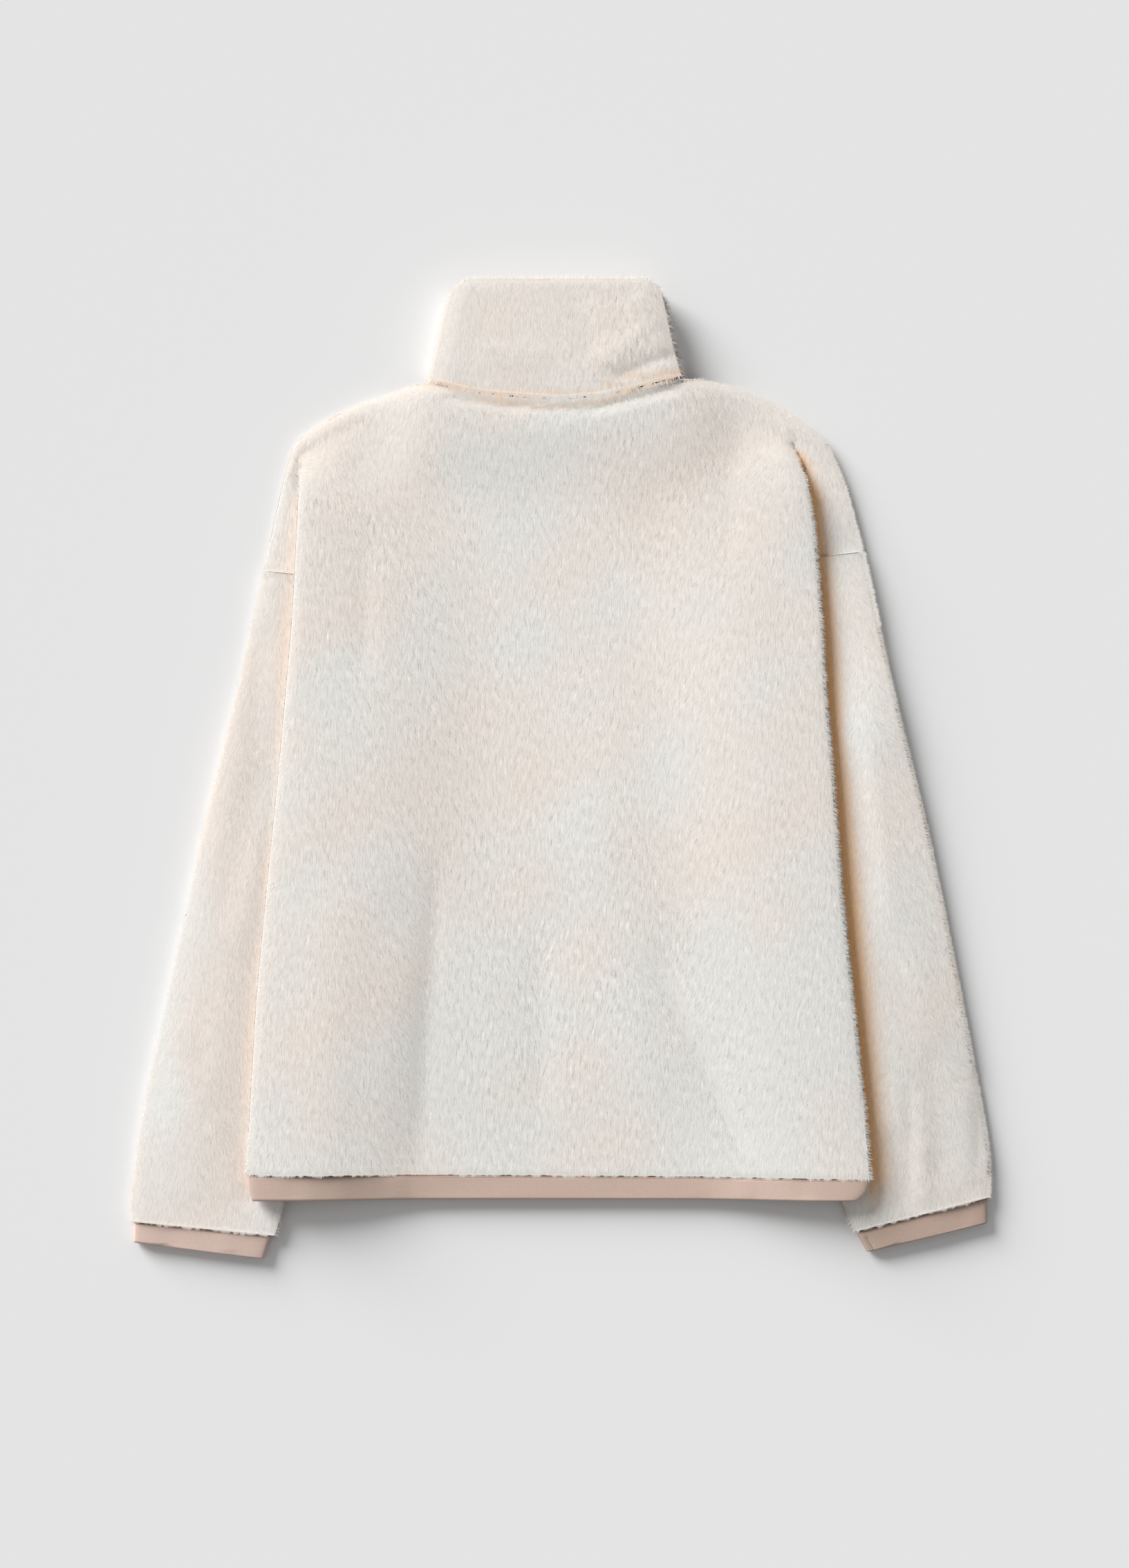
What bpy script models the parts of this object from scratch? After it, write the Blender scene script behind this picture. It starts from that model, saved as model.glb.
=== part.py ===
"""Half-zip plush sweatshirt, laid flat on its front with its sleeves tucked under its sides.

Sizes below are in millimetres. +X is the right of the garment as it is seen from above,
+Y points from hem to collar and +Z up, with the surface that it lies on at Z = 0.
"""

import math
from collections import namedtuple

import bmesh
import bpy
from mathutils import Vector

MM = 0.001

# Cloth
FLEECE = 4.0  # plush fleece, knit and pile together
KNIT = 2.4  # binding
SEAM = 0.3  # gap between two sewn pieces
BACK_NECK_SEAM = 1.1  # and at the curved necklines
FRONT_NECK_SEAM = 2.0
FOLD = 5.0  # radius of a folded edge, which is half a flattened sleeve
SLEEVE_HEIGHT = 2 * FOLD
SLEEVE_FULLNESS = 1.8  # where nothing lies on the sleeve
LIFT = SLEEVE_HEIGHT + 0.6  # how far a tucked sleeve raises the body above it
BODY_HEIGHT = 2 * FLEECE + 3.0  # front and back with the air between them
HEM_HEIGHT = 2 * FLEECE + 1.6
BINDING_HEIGHT = 8.2
LEAST_AIR = 0.6
HEM_TO_BODY = (-290, -210)  # where along the garment its height goes from the hem's to the body's
NOTCH_RAMP = 18.0  # below each notch, where the sleeve has raised the body fully
CAP_RAMP = 16.0  # below it, where the shoulder cap has come down to the sleeve's height
SLEEVE_FLATTENS = (-330, -290)  # where its fullness goes, toward the cuff

# Neck and collar
CENTRE_X = -4.0
NECK_HALF_WIDTH = 93.8
NECK_DROP = 36.0  # how much lower the neckline is in front than behind
COLLAR_TOP = 354.5
COLLAR_TOP_DROP = 39.5
COLLAR_TOP_HALF_WIDTH = 77.0
COLLAR_CORNER = 14.0
COLLAR_SEAM = 275.0  # about where the curved seam to the body lies
# Half the collar's width at a height along the garment
COLLAR_HALF_WIDTHS = ((260, NECK_HALF_WIDTH), (284, NECK_HALF_WIDTH - 1), (296, 88.8), (316, 84.8),
                      (331, 81.3), (355, COLLAR_TOP_HALF_WIDTH))
COLLAR_TURN = 4.7  # outer radius of the folded top edge
COLLAR_BASE_HEIGHT = 19.4
COLLAR_HEIGHT = 21.2
COLLAR_RISE = 20.0  # how far above its seam the collar has its full height
NECK_RISE = COLLAR_BASE_HEIGHT - BODY_HEIGHT
NECK_RISES = (200, 245)  # where along the garment the body rises to the collar
NECK_REACH = 130.0  # how far from its middle that rise ends, and over what width
NECK_FADE = 36.0

# Half zip
ZIP_FOOT = 84.0
SLIT = 5.5  # half the gap in the fleece
TAPE = (3.3, 15.0, 4.35, 5.05)  # from and to across, from and to in height
TAPE_BELOW = 6.0  # how far it goes on below the zip's foot
TAPE_TOP = 307.0
STOP_START = 1.0  # from the middle, each top stop's inner side
STOP_GAP = 0.5  # between the zip's foot and the bottom stop
STOP_LENGTH = 2.2
STOP_RISE = 0.4  # how much thicker than the chain the bottom stop is, each way
CHAIN_HALF_WIDTH = 2.8
CHAIN = (3.6, 5.7)
SLIDER_FOOT = 295.0
SLIDER_LENGTH = 10.5
SLIDER_PLATES = ((2.7, 4.0), (5.4, 6.5))
SLIDER_HALF_WIDTH = 4.4
SLIDER_POST = 1.2
SLIDER_BEND = 0.1  # how far its plates' inner faces slope toward the post
BAIL_HALF_LENGTH = 3.2
BAIL_HOLE_HALF = 2.0
BAIL_WIRE = 0.8
BAIL_ROOT = 0.4  # how far it goes into the plate
BAIL_WIDTH = 1.6
BAIL_CLEARANCE = 1.1  # under the tab
PIVOT_Y = 300.5
PIVOT_Z = 1.75
TAB_THICKNESS = 1.1
TAB_LENGTH = 19.0
TAB_TILT = 3.4  # degrees, so that its tip rests on the surface

# Side folds of the body, from the hem up to the notch over the sleeve: x, y
BODY_EDGE = {
    "left": ((-228, -293), (-225, -240), (-221, -169), (-214, -94), (-204, 6), (-195, 106),
             (-190, 205), (-189, 223.5)),
    "right": ((223, -296), (219, -244), (214, -194), (203, -94), (196, 6), (191, 56),
              (189, 106), (183, 181), (181, 196), (175, 216), (167, 233.5)),
}
# Where the line of each side fold meets the shoulder's outline: x, y
SHOULDER_TIP = {"left": (-188, 241), "right": (168, 256)}
# Shoulder's outline from the neck to that tip, and on to the drop seam: x, y
SHOULDER = {
    "left": ((-98.8, 282), (-113.3, 276), (-141.3, 266), (-165.8, 256), (-188, 241)),
    "right": ((88.8, 284.5), (110, 281), (130.3, 276), (151.8, 266), (168, 256)),
}
CAP_OUTLINE = {
    "left": ((-188, 241), (-194.3, 235), (-199, 220), (-202.8, 206), (-208.5, 180), (-216, 144)),
    "right": ((168, 256), (181, 247), (193.3, 236), (205.8, 206), (213, 180), (218.3, 158)),
}
# Hidden inner edge of the shoulder cap, from the notch down to the drop seam: x, y
CAP_INNER = {
    "left": ((-189, 223.5), (-192.5, 214), (-192, 206), (-185, 190), (-172, 165), (-158, 138)),
    "right": ((167, 233.5), (173.5, 225), (178.5, 216), (175, 203), (163, 178), (150, 149)),
}
# Back neckline: x, y
NECKLINE = ((-98.8, 282), (-70, 273.5), (-46, 270), (-3, 267), (29, 269.5), (60, 277), (88.8, 284.5))

Station = namedtuple("Station", "outer_x outer_y inner_x inner_y")
SLEEVE = {
    "left": (
        Station(-216.5, 143.5, -158, 137.5),
        Station(-235, 56, -152, 44),
        Station(-260, -44, -160, -57),
        Station(-282, -144, -172, -158),
        Station(-304, -244, -188, -258),
        Station(-311.5, -300, -199, -312),
        Station(-312.5, -328, -207, -338.5),
    ),
    "right": (
        Station(219, 157.5, 150, 148.5),
        Station(241, 56, 156, 46),
        Station(266, -44, 168, -56),
        Station(286, -144, 181, -158),
        Station(305, -244, 193, -262),
        Station(311.5, -284, 200, -312),
        Station(310, -310.5, 212, -335.5),
    ),
}
SLEEVE_RINGS = 13
SLEEVE_COLUMNS = 5
CUFF = {
    "left": (Station(-310.5, -328.5, -211, -338.8), Station(-311, -343.5, -216, -355.5)),
    "right": (Station(308.5, -311, 213.5, -336), Station(309, -329.3, 221.5, -350.4)),
}
CUFF_RINGS = 3
HEM = (Station(-227.5, -293.5, 222.5, -296.5), Station(-227.5, -304, 221.5, -307),
       Station(-224, -312, 215, -312))

# Where the cloth over a sleeve starts and stops rising, outward from the sleeve's inner edge
FRONT_RAMP = (-84, -12)
BACK_RAMP = (-104, -6)

# Broad folds of the back, each along a straight run: ends, half-width, rise (or fall) in height
Crease = namedtuple("Crease", "x0 y0 x1 y1 half_width rise")
CREASES = (
    Crease(-98, -90, -110, -290, 20, -2.0),
    Crease(-165, -110, -174, -290, 24, 2.4),
    Crease(-190, 150, -180, -60, 16, 1.4),
    Crease(-141, 160, -141, 75, 18, -1.4),
    Crease(72, -130, 128, -262, 13, -2.2),
    Crease(29, -40, 68, -215, 24, 2.2),
    Crease(30, 40, 28, -60, 30, 1.2),
    Crease(-16, -120, -16, -244, 22, -1.4),
    Crease(124, 240, 121, 156, 14, -1.6),
    Crease(155, 235, 162, 160, 12, 1.2),
)

# Grid of a panel: how far its rows go up to the notch, and the few above it
NOTCH = 0.96
LOWER_ROWS = 20
UPPER_ROWS = (0.975, 0.9888, 0.9967, 1.0)
SLIT_ROW = 15
HEM_COLUMNS = 20
PANEL_COLUMNS = 17
CAP_ROWS = 5
CAP_COLUMNS = 3
CAP_START = 0.12  # share of the cap's outline that its first row meets
BODY_HOME = (CENTRE_X, 120)  # a place well inside the body's folds
CAP_HOME = (0.6, 0.7)  # and inside a cap's: shares of its inner edge and outline
FOLD_INSETS = (0.0, 0.293, 1.0)  # in radii of the fold

# Colours, linear
FLEECE_CREAM = (0.72, 0.67, 0.62)
BINDING_PINK = (0.55, 0.42, 0.36)
ZIP_PINK = (0.58, 0.45, 0.39)
SLIDER_METAL = (0.62, 0.60, 0.57)


def smooth(value, start, end):
    share = min(1.0, max(0.0, (value - start) / (end - start)))
    return share * share * (3 - 2 * share)


def mix(start, end, share):
    return start + (end - start) * share


def along(points, share):
    """Point on a line of (x, y) points, at a share of their count."""
    place = share * (len(points) - 1)
    index = min(int(place), len(points) - 2)
    return Vector(points[index]).lerp(Vector(points[index + 1]), place - index)


def level_along(points, share):
    """Point on a line of (x, y) points, at a share of its height."""
    height = mix(points[0][1], points[-1][1], share)
    for low, high in zip(points, points[1:]):
        if (height - low[1]) * (height - high[1]) <= 0:
            return Vector(low).lerp(Vector(high), (height - low[1]) / (high[1] - low[1]))
    return Vector(points[-1])


def lookup(points, value):
    """Second number at a value of the first, which rises along the points."""
    if value <= points[0][0]:
        return points[0][1]
    for low, high in zip(points, points[1:]):
        if value <= high[0]:
            return mix(low[1], high[1], (value - low[0]) / (high[0] - low[0]))
    return points[-1][1]


def nearest(lines, place):
    """Nearest point to place on any of the lines."""
    best = None
    for line in lines:
        for start, end in zip(line, line[1:]):
            start, run = Vector(start), Vector(end) - Vector(start)
            share = max(0.0, min(1.0, (place - start).dot(run) / run.length_squared))
            foot = start + share * run
            if best is None or (foot - place).length < (best - place).length:
                best = foot
    return best


# Heights of the layers


def inner_line(side):
    """Hidden inner edge of the cap and sleeve as (y, x), from the cuff up."""
    points = [(station.inner_y, station.inner_x) for station in reversed(SLEEVE[side])]
    return points + [(y, x) for x, y in reversed(CAP_INNER[side][:-1])]


INNER_LINES = {side: inner_line(side) for side in SLEEVE}


def lift(x, y, ramp):
    """Rise of the body where a sleeve lies under it."""
    side, sign = ("left", -1) if x < 0 else ("right", 1)
    notch = BODY_EDGE[side][-1][1]
    past = sign * (x - lookup(INNER_LINES[side], y))
    return LIFT * smooth(past, *ramp) * smooth(notch - y, 0, NOTCH_RAMP)


def crease_height(x, y):
    total = 0.0
    for crease in CREASES:
        line = ((crease.x0, crease.y0), (crease.x1, crease.y1))
        distance = (nearest((line,), Vector((x, y))) - Vector((x, y))).length
        total += crease.rise * math.exp(-((distance / crease.half_width) ** 2))
    return total


def body_heights(x, y):
    """Underside, middle of the side folds and top of the body."""
    under = lift(x, y, FRONT_RAMP)
    loft = mix(HEM_HEIGHT, BODY_HEIGHT, smooth(y, *HEM_TO_BODY)) + crease_height(x, y)
    loft += NECK_RISE * smooth(y, *NECK_RISES) * smooth(NECK_REACH - abs(x - CENTRE_X), 0, NECK_FADE)
    top = lift(x, y, BACK_RAMP) + max(2 * FLEECE + LEAST_AIR, loft)
    return under, under + FOLD, top


def cap_heights(side):
    """Heights of the shoulder cap, which drops from the body's to the sleeve's."""
    notch = BODY_EDGE[side][-1][1]

    def heights(x, y):
        top = mix(body_heights(x, max(y, notch))[2], SLEEVE_HEIGHT, smooth(notch - y, 0, CAP_RAMP))
        return 0.0, FOLD, top

    return heights


def sleeve_heights(side):
    """Heights of a sleeve, a little fuller where the body doesn't press on it."""
    sign = -1 if side == "left" else 1
    edge = [(y, x) for x, y in BODY_EDGE[side]]
    outer = [(station.outer_y, station.outer_x) for station in reversed(SLEEVE[side])]

    def heights(x, y):
        free = sign * (x - lookup(edge, y))
        width = sign * (lookup(outer, y) - lookup(edge, y))
        share = max(0.0, min(1.0, free / max(width, 1.0)))
        fullness = SLEEVE_FULLNESS * math.sin(math.pi * share) * smooth(y, *SLEEVE_FLATTENS)
        return 0.0, FOLD, SLEEVE_HEIGHT + fullness

    return heights


def cuff_heights(_x, _y):
    return 0.0, BINDING_HEIGHT / 2, BINDING_HEIGHT


def hem_heights(x, y):
    under = lift(x, y, FRONT_RAMP)
    return under, under + BINDING_HEIGHT / 2, lift(x, y, BACK_RAMP) + BINDING_HEIGHT


# Cloth


def wrap(place, level, flat, toward, distance, wall, gap):
    """Outer and inner point of cloth that turns over a fold.

    level is the height of the fold's middle and flat that of the cloth away from it, and
    toward and distance lead to the fold. gap is left for a seam that runs along the fold.
    """
    reach = abs(flat - level)
    side = 1 if flat > level else -1
    inset = max(0.0, 1 - distance / reach)
    rise = math.sqrt(1 - inset * inset)
    height = level + side * mix(gap / 2, reach, rise)
    outer = Vector((place.x, place.y, height))
    inner = outer - wall * Vector((toward.x * inset, toward.y * inset, side * rise))
    return outer, inner


def add_object(name, mesh, material):
    obj = bpy.data.objects.new(name, mesh)
    obj.data.materials.clear()
    obj.data.materials.append(material)
    bpy.data.collections["half_zip_sweatshirt"].objects.link(obj)
    return obj


def add_shell(name, points, faces, material):
    """Closed cloth from pairs of an outer and an inner point, and faces that see the outer ones."""
    count = len(points)
    edges = {}
    for face in faces:
        for start, end in zip(face, face[1:] + face[:1]):
            edges[(start, end)] = True
    rims = [(end, start, start + count, end + count)
            for start, end in edges if (end, start) not in edges]
    backs = [tuple(index + count for index in reversed(face)) for face in faces]
    places = [pair[0] * MM for pair in points] + [pair[1] * MM for pair in points]
    mesh = bpy.data.meshes.new(name)
    mesh.from_pydata(places, [], list(faces) + backs + rims)
    mesh.shade_smooth()
    return add_object(name, mesh, material)


def grid_faces(rows, upward=True):
    """Quads between rows of indices of equal length."""
    faces = []
    for low, high in zip(rows, rows[1:]):
        for index in range(len(low) - 1):
            face = (low[index], low[index + 1], high[index + 1], high[index])
            faces.append(face if upward else face[::-1])
    return faces


# Front and back panels


def front_neck(x):
    return NECK_DROP * (1 - min(1.0, ((x - CENTRE_X) / NECK_HALF_WIDTH) ** 2))


def top_line(front):
    """Upper outline of a panel between the shoulder tips, as (x, y)."""
    steps = [CENTRE_X + NECK_HALF_WIDTH * share / 5 for share in range(-4, 5)]
    neck = [(x, lookup(NECKLINE, x) - (front_neck(x) if front else 0)) for x in steps]
    neck = [NECKLINE[0]] + neck + [NECKLINE[-1]]
    seam = FRONT_NECK_SEAM if front else BACK_NECK_SEAM
    neck = [(x, y - seam) for x, y in neck]
    return list(reversed(SHOULDER["left"][1:])) + neck + list(SHOULDER["right"][1:])


def side_point(side, row):
    if row <= NOTCH:
        return level_along(BODY_EDGE[side], row / NOTCH)
    return Vector(BODY_EDGE[side][-1]).lerp(Vector(SHOULDER_TIP[side]), (row - NOTCH) / (1 - NOTCH))


def body_place(line, across, row):
    """Place in a panel by its share across and its share up, from its four sides."""
    left, right = side_point("left", row), side_point("right", row)
    foot = (side_point("left", 0), side_point("right", 0))
    tip = (side_point("left", 1), side_point("right", 1))
    top_x = mix(tip[0].x, tip[1].x, across)
    top = Vector((top_x, lookup(line, top_x)))
    bottom = foot[0].lerp(foot[1], across)
    corners = mix(mix(foot[0], foot[1], across), mix(tip[0], tip[1], across), row)
    return mix(bottom, top, row) + mix(left, right, across) - corners


def fold_shares(width, radius, columns):
    """Shares across a width with a folded edge of this radius at both ends."""
    insets = [part * radius / width for part in FOLD_INSETS]
    inside = [mix(insets[-1], 1 - insets[-1], step / columns) for step in range(1, columns)]
    return insets + inside + [1 - inset for inset in reversed(insets)]


def add_body(points, line, facing):
    """Grid of the panel between its side folds. Returns its rows of indices."""
    folds = [BODY_EDGE["left"], BODY_EDGE["right"], SHOULDER["left"], SHOULDER["right"]]
    folds += [CAP_OUTLINE["left"], CAP_OUTLINE["right"]]
    home = Vector(BODY_HOME)
    rows = []
    for row in [NOTCH * step / LOWER_ROWS for step in range(LOWER_ROWS + 1)] + list(UPPER_ROWS):
        width = (side_point("right", row) - side_point("left", row)).length
        indices = []
        for across in fold_shares(width, FOLD, PANEL_COLUMNS):
            place = body_place(line, across, row)
            notch = row == NOTCH and across in (0.0, 1.0)
            points.append(body_point(place, notch, folds, home, facing))
            indices.append(len(points) - 1)
        rows.append(indices)
    return rows


def body_point(place, notch, folds, home, facing):
    under, level, top = body_heights(place.x, place.y)
    flat = top if facing > 0 else under
    toward, distance = fold_of(place, folds, home)
    if notch:
        toward, distance = Vector((0, -1)), 0.0
    return wrap(place, level, flat, toward, distance, FLEECE, SEAM)


def fold_of(place, folds, home):
    """Direction and distance to the nearest fold, for a place that may lie on it."""
    inside = place + 0.01 * (home - place).normalized()
    foot = nearest(folds, inside)
    return (foot - inside).normalized(), (foot - place).length


def add_cap(points, shared, side, facing):
    """Shoulder cap beyond the body's fold, from the indices that it shares with the body."""
    heights = cap_heights(side)
    folds = [CAP_OUTLINE[side], CAP_INNER[side]]
    sign = -1 if side == "left" else 1
    home = along(CAP_INNER[side], CAP_HOME[0]).lerp(along(CAP_OUTLINE[side], CAP_HOME[1]), 0.5)
    rows = []
    total = len(shared) - 1 + CAP_ROWS
    for step in range(total + 1):
        outer = along(CAP_OUTLINE[side], mix(CAP_START, 1.0, step / total))
        if step < len(shared):
            inner = points[shared[step]][0].xy
            indices = [shared[step]]
        else:
            inner = along(CAP_INNER[side], (step - len(shared) + 1) / CAP_ROWS)
            indices = []
        width = (outer - inner).length
        shares = fold_shares(width, FOLD, CAP_COLUMNS)
        if width < 3 * FOLD:
            shares = [part / (len(shares) - 1) for part in range(len(shares))]
        for share in shares[len(indices):]:
            place = inner.lerp(outer, share)
            under, level, top = heights(place.x, place.y)
            toward, distance = fold_of(place, folds, home)
            if step == total:
                toward = (outer - inner).normalized() * (1 if share > 0.5 else -1)
            flat = top if facing > 0 else under
            points.append(wrap(place, level, flat, toward, distance, FLEECE, SEAM))
            indices.append(len(points) - 1)
        rows.append(indices[::sign])
    return rows


def slit_panel(points, rows):
    """Moves the middle columns to the zip's edges and returns how many quads to leave out."""
    middle = len(rows[0]) // 2
    for number, row in enumerate(rows):
        for index, offset in ((row[middle - 1], -SLIT), (row[middle], SLIT)):
            for point in points[index]:
                point.x = CENTRE_X + offset
                if number == SLIT_ROW:
                    point.y = ZIP_FOOT
    return middle - 1


def add_panel(name, facing, material):
    points = []
    rows = add_body(points, top_line(facing < 0), facing)
    upward = facing > 0
    if upward:
        faces = grid_faces(rows)
    else:
        slit = slit_panel(points, rows)
        faces = grid_faces(rows[: SLIT_ROW + 1], upward)
        faces += grid_faces([row[: slit + 1] for row in rows[SLIT_ROW:]], upward)
        faces += grid_faces([row[slit + 1:] for row in rows[SLIT_ROW:]], upward)
    for side, end in (("left", 0), ("right", -1)):
        shared = [row[end] for row in reversed(rows[LOWER_ROWS:])]
        faces += grid_faces(add_cap(points, shared, side, facing), not upward)
    return add_shell(name, points, faces, material)


# Flattened tubes: sleeves and bindings


def add_tube(name, stations, heights, wall, columns, material):
    """Flattened tube through stations, from the collar's end down, that each give its two edges."""
    points, rows = [], []
    for station in stations:
        inner = Vector((station.inner_x, station.inner_y))
        outer = Vector((station.outer_x, station.outer_y))
        under, level, _ = heights(inner.x, inner.y)
        shares = fold_shares((outer - inner).length, level - under, columns)
        ring = [(share, 1) for share in shares] + [(share, -1) for share in shares[-2:0:-1]]
        indices = []
        for share, facing in ring:
            place = inner.lerp(outer, share)
            under, level, top = heights(place.x, place.y)
            toward = (outer - inner).normalized() * (1 if share > 0.5 else -1)
            distance = min(share, 1 - share) * (outer - inner).length
            flat = top if facing > 0 else under
            points.append(wrap(place, level, flat, toward, distance, wall, 0.0))
            indices.append(len(points) - 1)
        rows.append(indices + indices[:1])
    return add_shell(name, points, grid_faces(rows, stations[0].outer_x < stations[0].inner_x), material)


def resampled(stations, count):
    rows = []
    for step in range(count):
        place = step / (count - 1) * (len(stations) - 1)
        index = min(int(place), len(stations) - 2)
        share = place - index
        rows.append(Station(*(mix(a, b, share) for a, b in zip(stations[index], stations[index + 1]))))
    return rows


# Collar


def collar_stations():
    """Way round the flattened collar from one zip edge to the other: share of the flat run,
    side and turn of its skin in degrees."""
    front = [step / 3 for step in range(4)]
    back = [step / 10 for step in range(1, 10)]
    left = [(share, -1, -90) for share in front] + [(1, -1, turn) for turn in (-45, 0, 45, 90)]
    middle = [(abs(2 * share - 1), math.copysign(1, 2 * share - 1), 90) for share in back]
    right = [(share, 1, turn) for share, _, turn in reversed(left)]
    return left + middle + right


def collar_place(station, y, base, offset):
    """Point at a height on the collar, an offset in from its outer skin."""
    share, sign, turn = station
    radius = mix(COLLAR_BASE_HEIGHT, COLLAR_HEIGHT, smooth(y - base, 0, COLLAR_RISE)) / 2
    start = SLIT if turn == -90 else 0.0
    across = mix(start, lookup(COLLAR_HALF_WIDTHS, y) - radius, share)
    turn = math.radians(turn)
    reach = radius - offset
    x = CENTRE_X + sign * (across + reach * math.cos(turn))
    return Vector((x, y, radius + reach * math.sin(turn)))


def collar_span(station):
    """Base and top of the collar along one line up it."""
    share, sign, turn = station
    middle = collar_place(station, COLLAR_SEAM, 0.0, 0.0)
    front = 1 - min(1.0, ((middle.x - CENTRE_X) / NECK_HALF_WIDTH) ** 2) if turn == -90 else 0.0
    top_x = abs(collar_place(station, COLLAR_TOP, 0.0, 0.0).x - CENTRE_X)
    past = min(COLLAR_CORNER, max(0.0, top_x - (COLLAR_TOP_HALF_WIDTH - COLLAR_CORNER)))
    corner = COLLAR_CORNER - math.sqrt(COLLAR_CORNER**2 - past**2)
    base = lookup(NECKLINE, middle.x) - NECK_DROP * front
    return base, COLLAR_TOP - COLLAR_TOP_DROP * front - corner


def add_collar(material):
    """Doubled fleece: up on the outside, over a rounded fold and down inside."""
    inner_turn = COLLAR_TURN - FLEECE
    rows = [[] for _ in range(10)]
    points = []
    for station in collar_stations():
        base, top = collar_span(station)
        fold = top - COLLAR_TURN
        path = [(0.0, FLEECE, mix(base, fold, step / 3), 0) for step in range(4)]
        for degrees in (45, 90, 135):
            turn = math.radians(degrees)
            path.append((COLLAR_TURN * (1 - math.cos(turn)), COLLAR_TURN - inner_turn * math.cos(turn),
                         fold, math.sin(turn)))
        inside = 2 * COLLAR_TURN
        path += [(inside, inside - FLEECE, mix(fold, base, step / 2), 0) for step in range(3)]
        for row, (outer, inner, y, turned) in zip(rows, path):
            points.append((
                collar_place(station, y + COLLAR_TURN * turned, base, outer),
                collar_place(station, y + inner_turn * turned, base, inner),
            ))
            row.append(len(points) - 1)
    return add_shell("collar", points, grid_faces(rows, True), material)


# Half zip


def add_box(name, low, high, material):
    cube = bmesh.new()
    bmesh.ops.create_cube(cube, size=1)
    middle = [(a + b) / 2 * MM for a, b in zip(low, high)]
    sides = [(b - a) * MM for a, b in zip(low, high)]
    bmesh.ops.scale(cube, vec=sides, verts=cube.verts)
    bmesh.ops.translate(cube, vec=middle, verts=cube.verts)
    mesh = bpy.data.meshes.new(name)
    cube.to_mesh(mesh)
    cube.free()
    return add_object(name, mesh, material)


def add_outline(name, loops, thickness, rotation, location, material):
    """Flat outline with any holes, as thick as given, turned and put in place, as a mesh."""
    curve = bpy.data.curves.new(name, "CURVE")
    curve.dimensions = "2D"
    curve.fill_mode = "BOTH"
    curve.extrude = thickness / 2 * MM
    for loop in loops:
        spline = curve.splines.new("POLY")
        spline.points.add(len(loop) - 1)
        for point, (x, y) in zip(spline.points, loop):
            point.co = (x * MM, y * MM, 0, 1)
        spline.use_cyclic_u = True
    guide = bpy.data.objects.new(name + "_outline", curve)
    bpy.context.scene.collection.objects.link(guide)
    mesh = bpy.data.meshes.new_from_object(guide.evaluated_get(bpy.context.evaluated_depsgraph_get()))
    bpy.data.objects.remove(guide)
    made = add_object(name, mesh, material)
    made.rotation_euler = [math.radians(angle) for angle in rotation]
    made.location = [value * MM for value in location]
    weld = made.modifiers.new("Weld", "WELD")
    weld.merge_threshold = 0.00001
    return made


def rectangle(left, right, low, high):
    return ((left, low), (right, low), (right, high), (left, high))


def add_bail(plate, material):
    """Bent wire under the slider's lower plate, open above its hole."""
    top = plate + BAIL_ROOT
    bottom = PIVOT_Z - TAB_THICKNESS / 2 - BAIL_CLEARANCE
    outer = rectangle(PIVOT_Y - BAIL_HALF_LENGTH, PIVOT_Y + BAIL_HALF_LENGTH, bottom, top)
    hole = rectangle(PIVOT_Y - BAIL_HOLE_HALF, PIVOT_Y + BAIL_HOLE_HALF, bottom + BAIL_WIRE, plate)
    open_above = ((hole[1][0], top), hole[1], hole[0], (hole[0][0], top))
    return add_outline("bail", (outer[:3] + open_above + outer[3:],), BAIL_WIDTH, (90, 0, 90),
                       (CENTRE_X, 0, 0), material)


def add_slider(material):
    """Two plates on a post, so that the tapes enter from both sides, with a bail for the tab."""
    (low, low_top), (high, high_top) = SLIDER_PLATES
    half, post = SLIDER_HALF_WIDTH, SLIDER_POST
    right = [(half, low), (half, low_top), (post, low_top + SLIDER_BEND), (post, high - SLIDER_BEND),
             (half, high), (half, high_top)]
    left = [(-x, z) for x, z in reversed(right)]
    middle = SLIDER_FOOT + SLIDER_LENGTH / 2
    slider = add_outline("zip_slider", (right + left,), SLIDER_LENGTH, (90, 0, 0),
                         (CENTRE_X, middle, 0), material)
    bail = add_bail(low, material)
    bpy.data.collections["half_zip_sweatshirt"].objects.unlink(bail)
    bpy.data.collections["cutters"].objects.link(bail)
    bail.hide_render = True
    bail.display_type = "WIRE"
    join = slider.modifiers.new("Bail", "BOOLEAN")
    join.operation = "UNION"
    join.object = bail


def add_tab(material):
    """Pull tab that swings on its top bar, which passes through the bail."""
    outline = ((-2.8, 0.55), (2.8, 0.55), (2.8, -4), (3.1, -7), (3.1, 2 - TAB_LENGTH),
               (1.8, -TAB_LENGTH), (-1.8, -TAB_LENGTH), (-3.1, 2 - TAB_LENGTH), (-3.1, -7), (-2.8, -4))
    window = rectangle(-1.6, 1.6, -4.8, -0.55)
    add_outline("zip_tab", (outline, window), TAB_THICKNESS, (TAB_TILT, 0, 0),
                (CENTRE_X, PIVOT_Y, PIVOT_Z), material)


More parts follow.
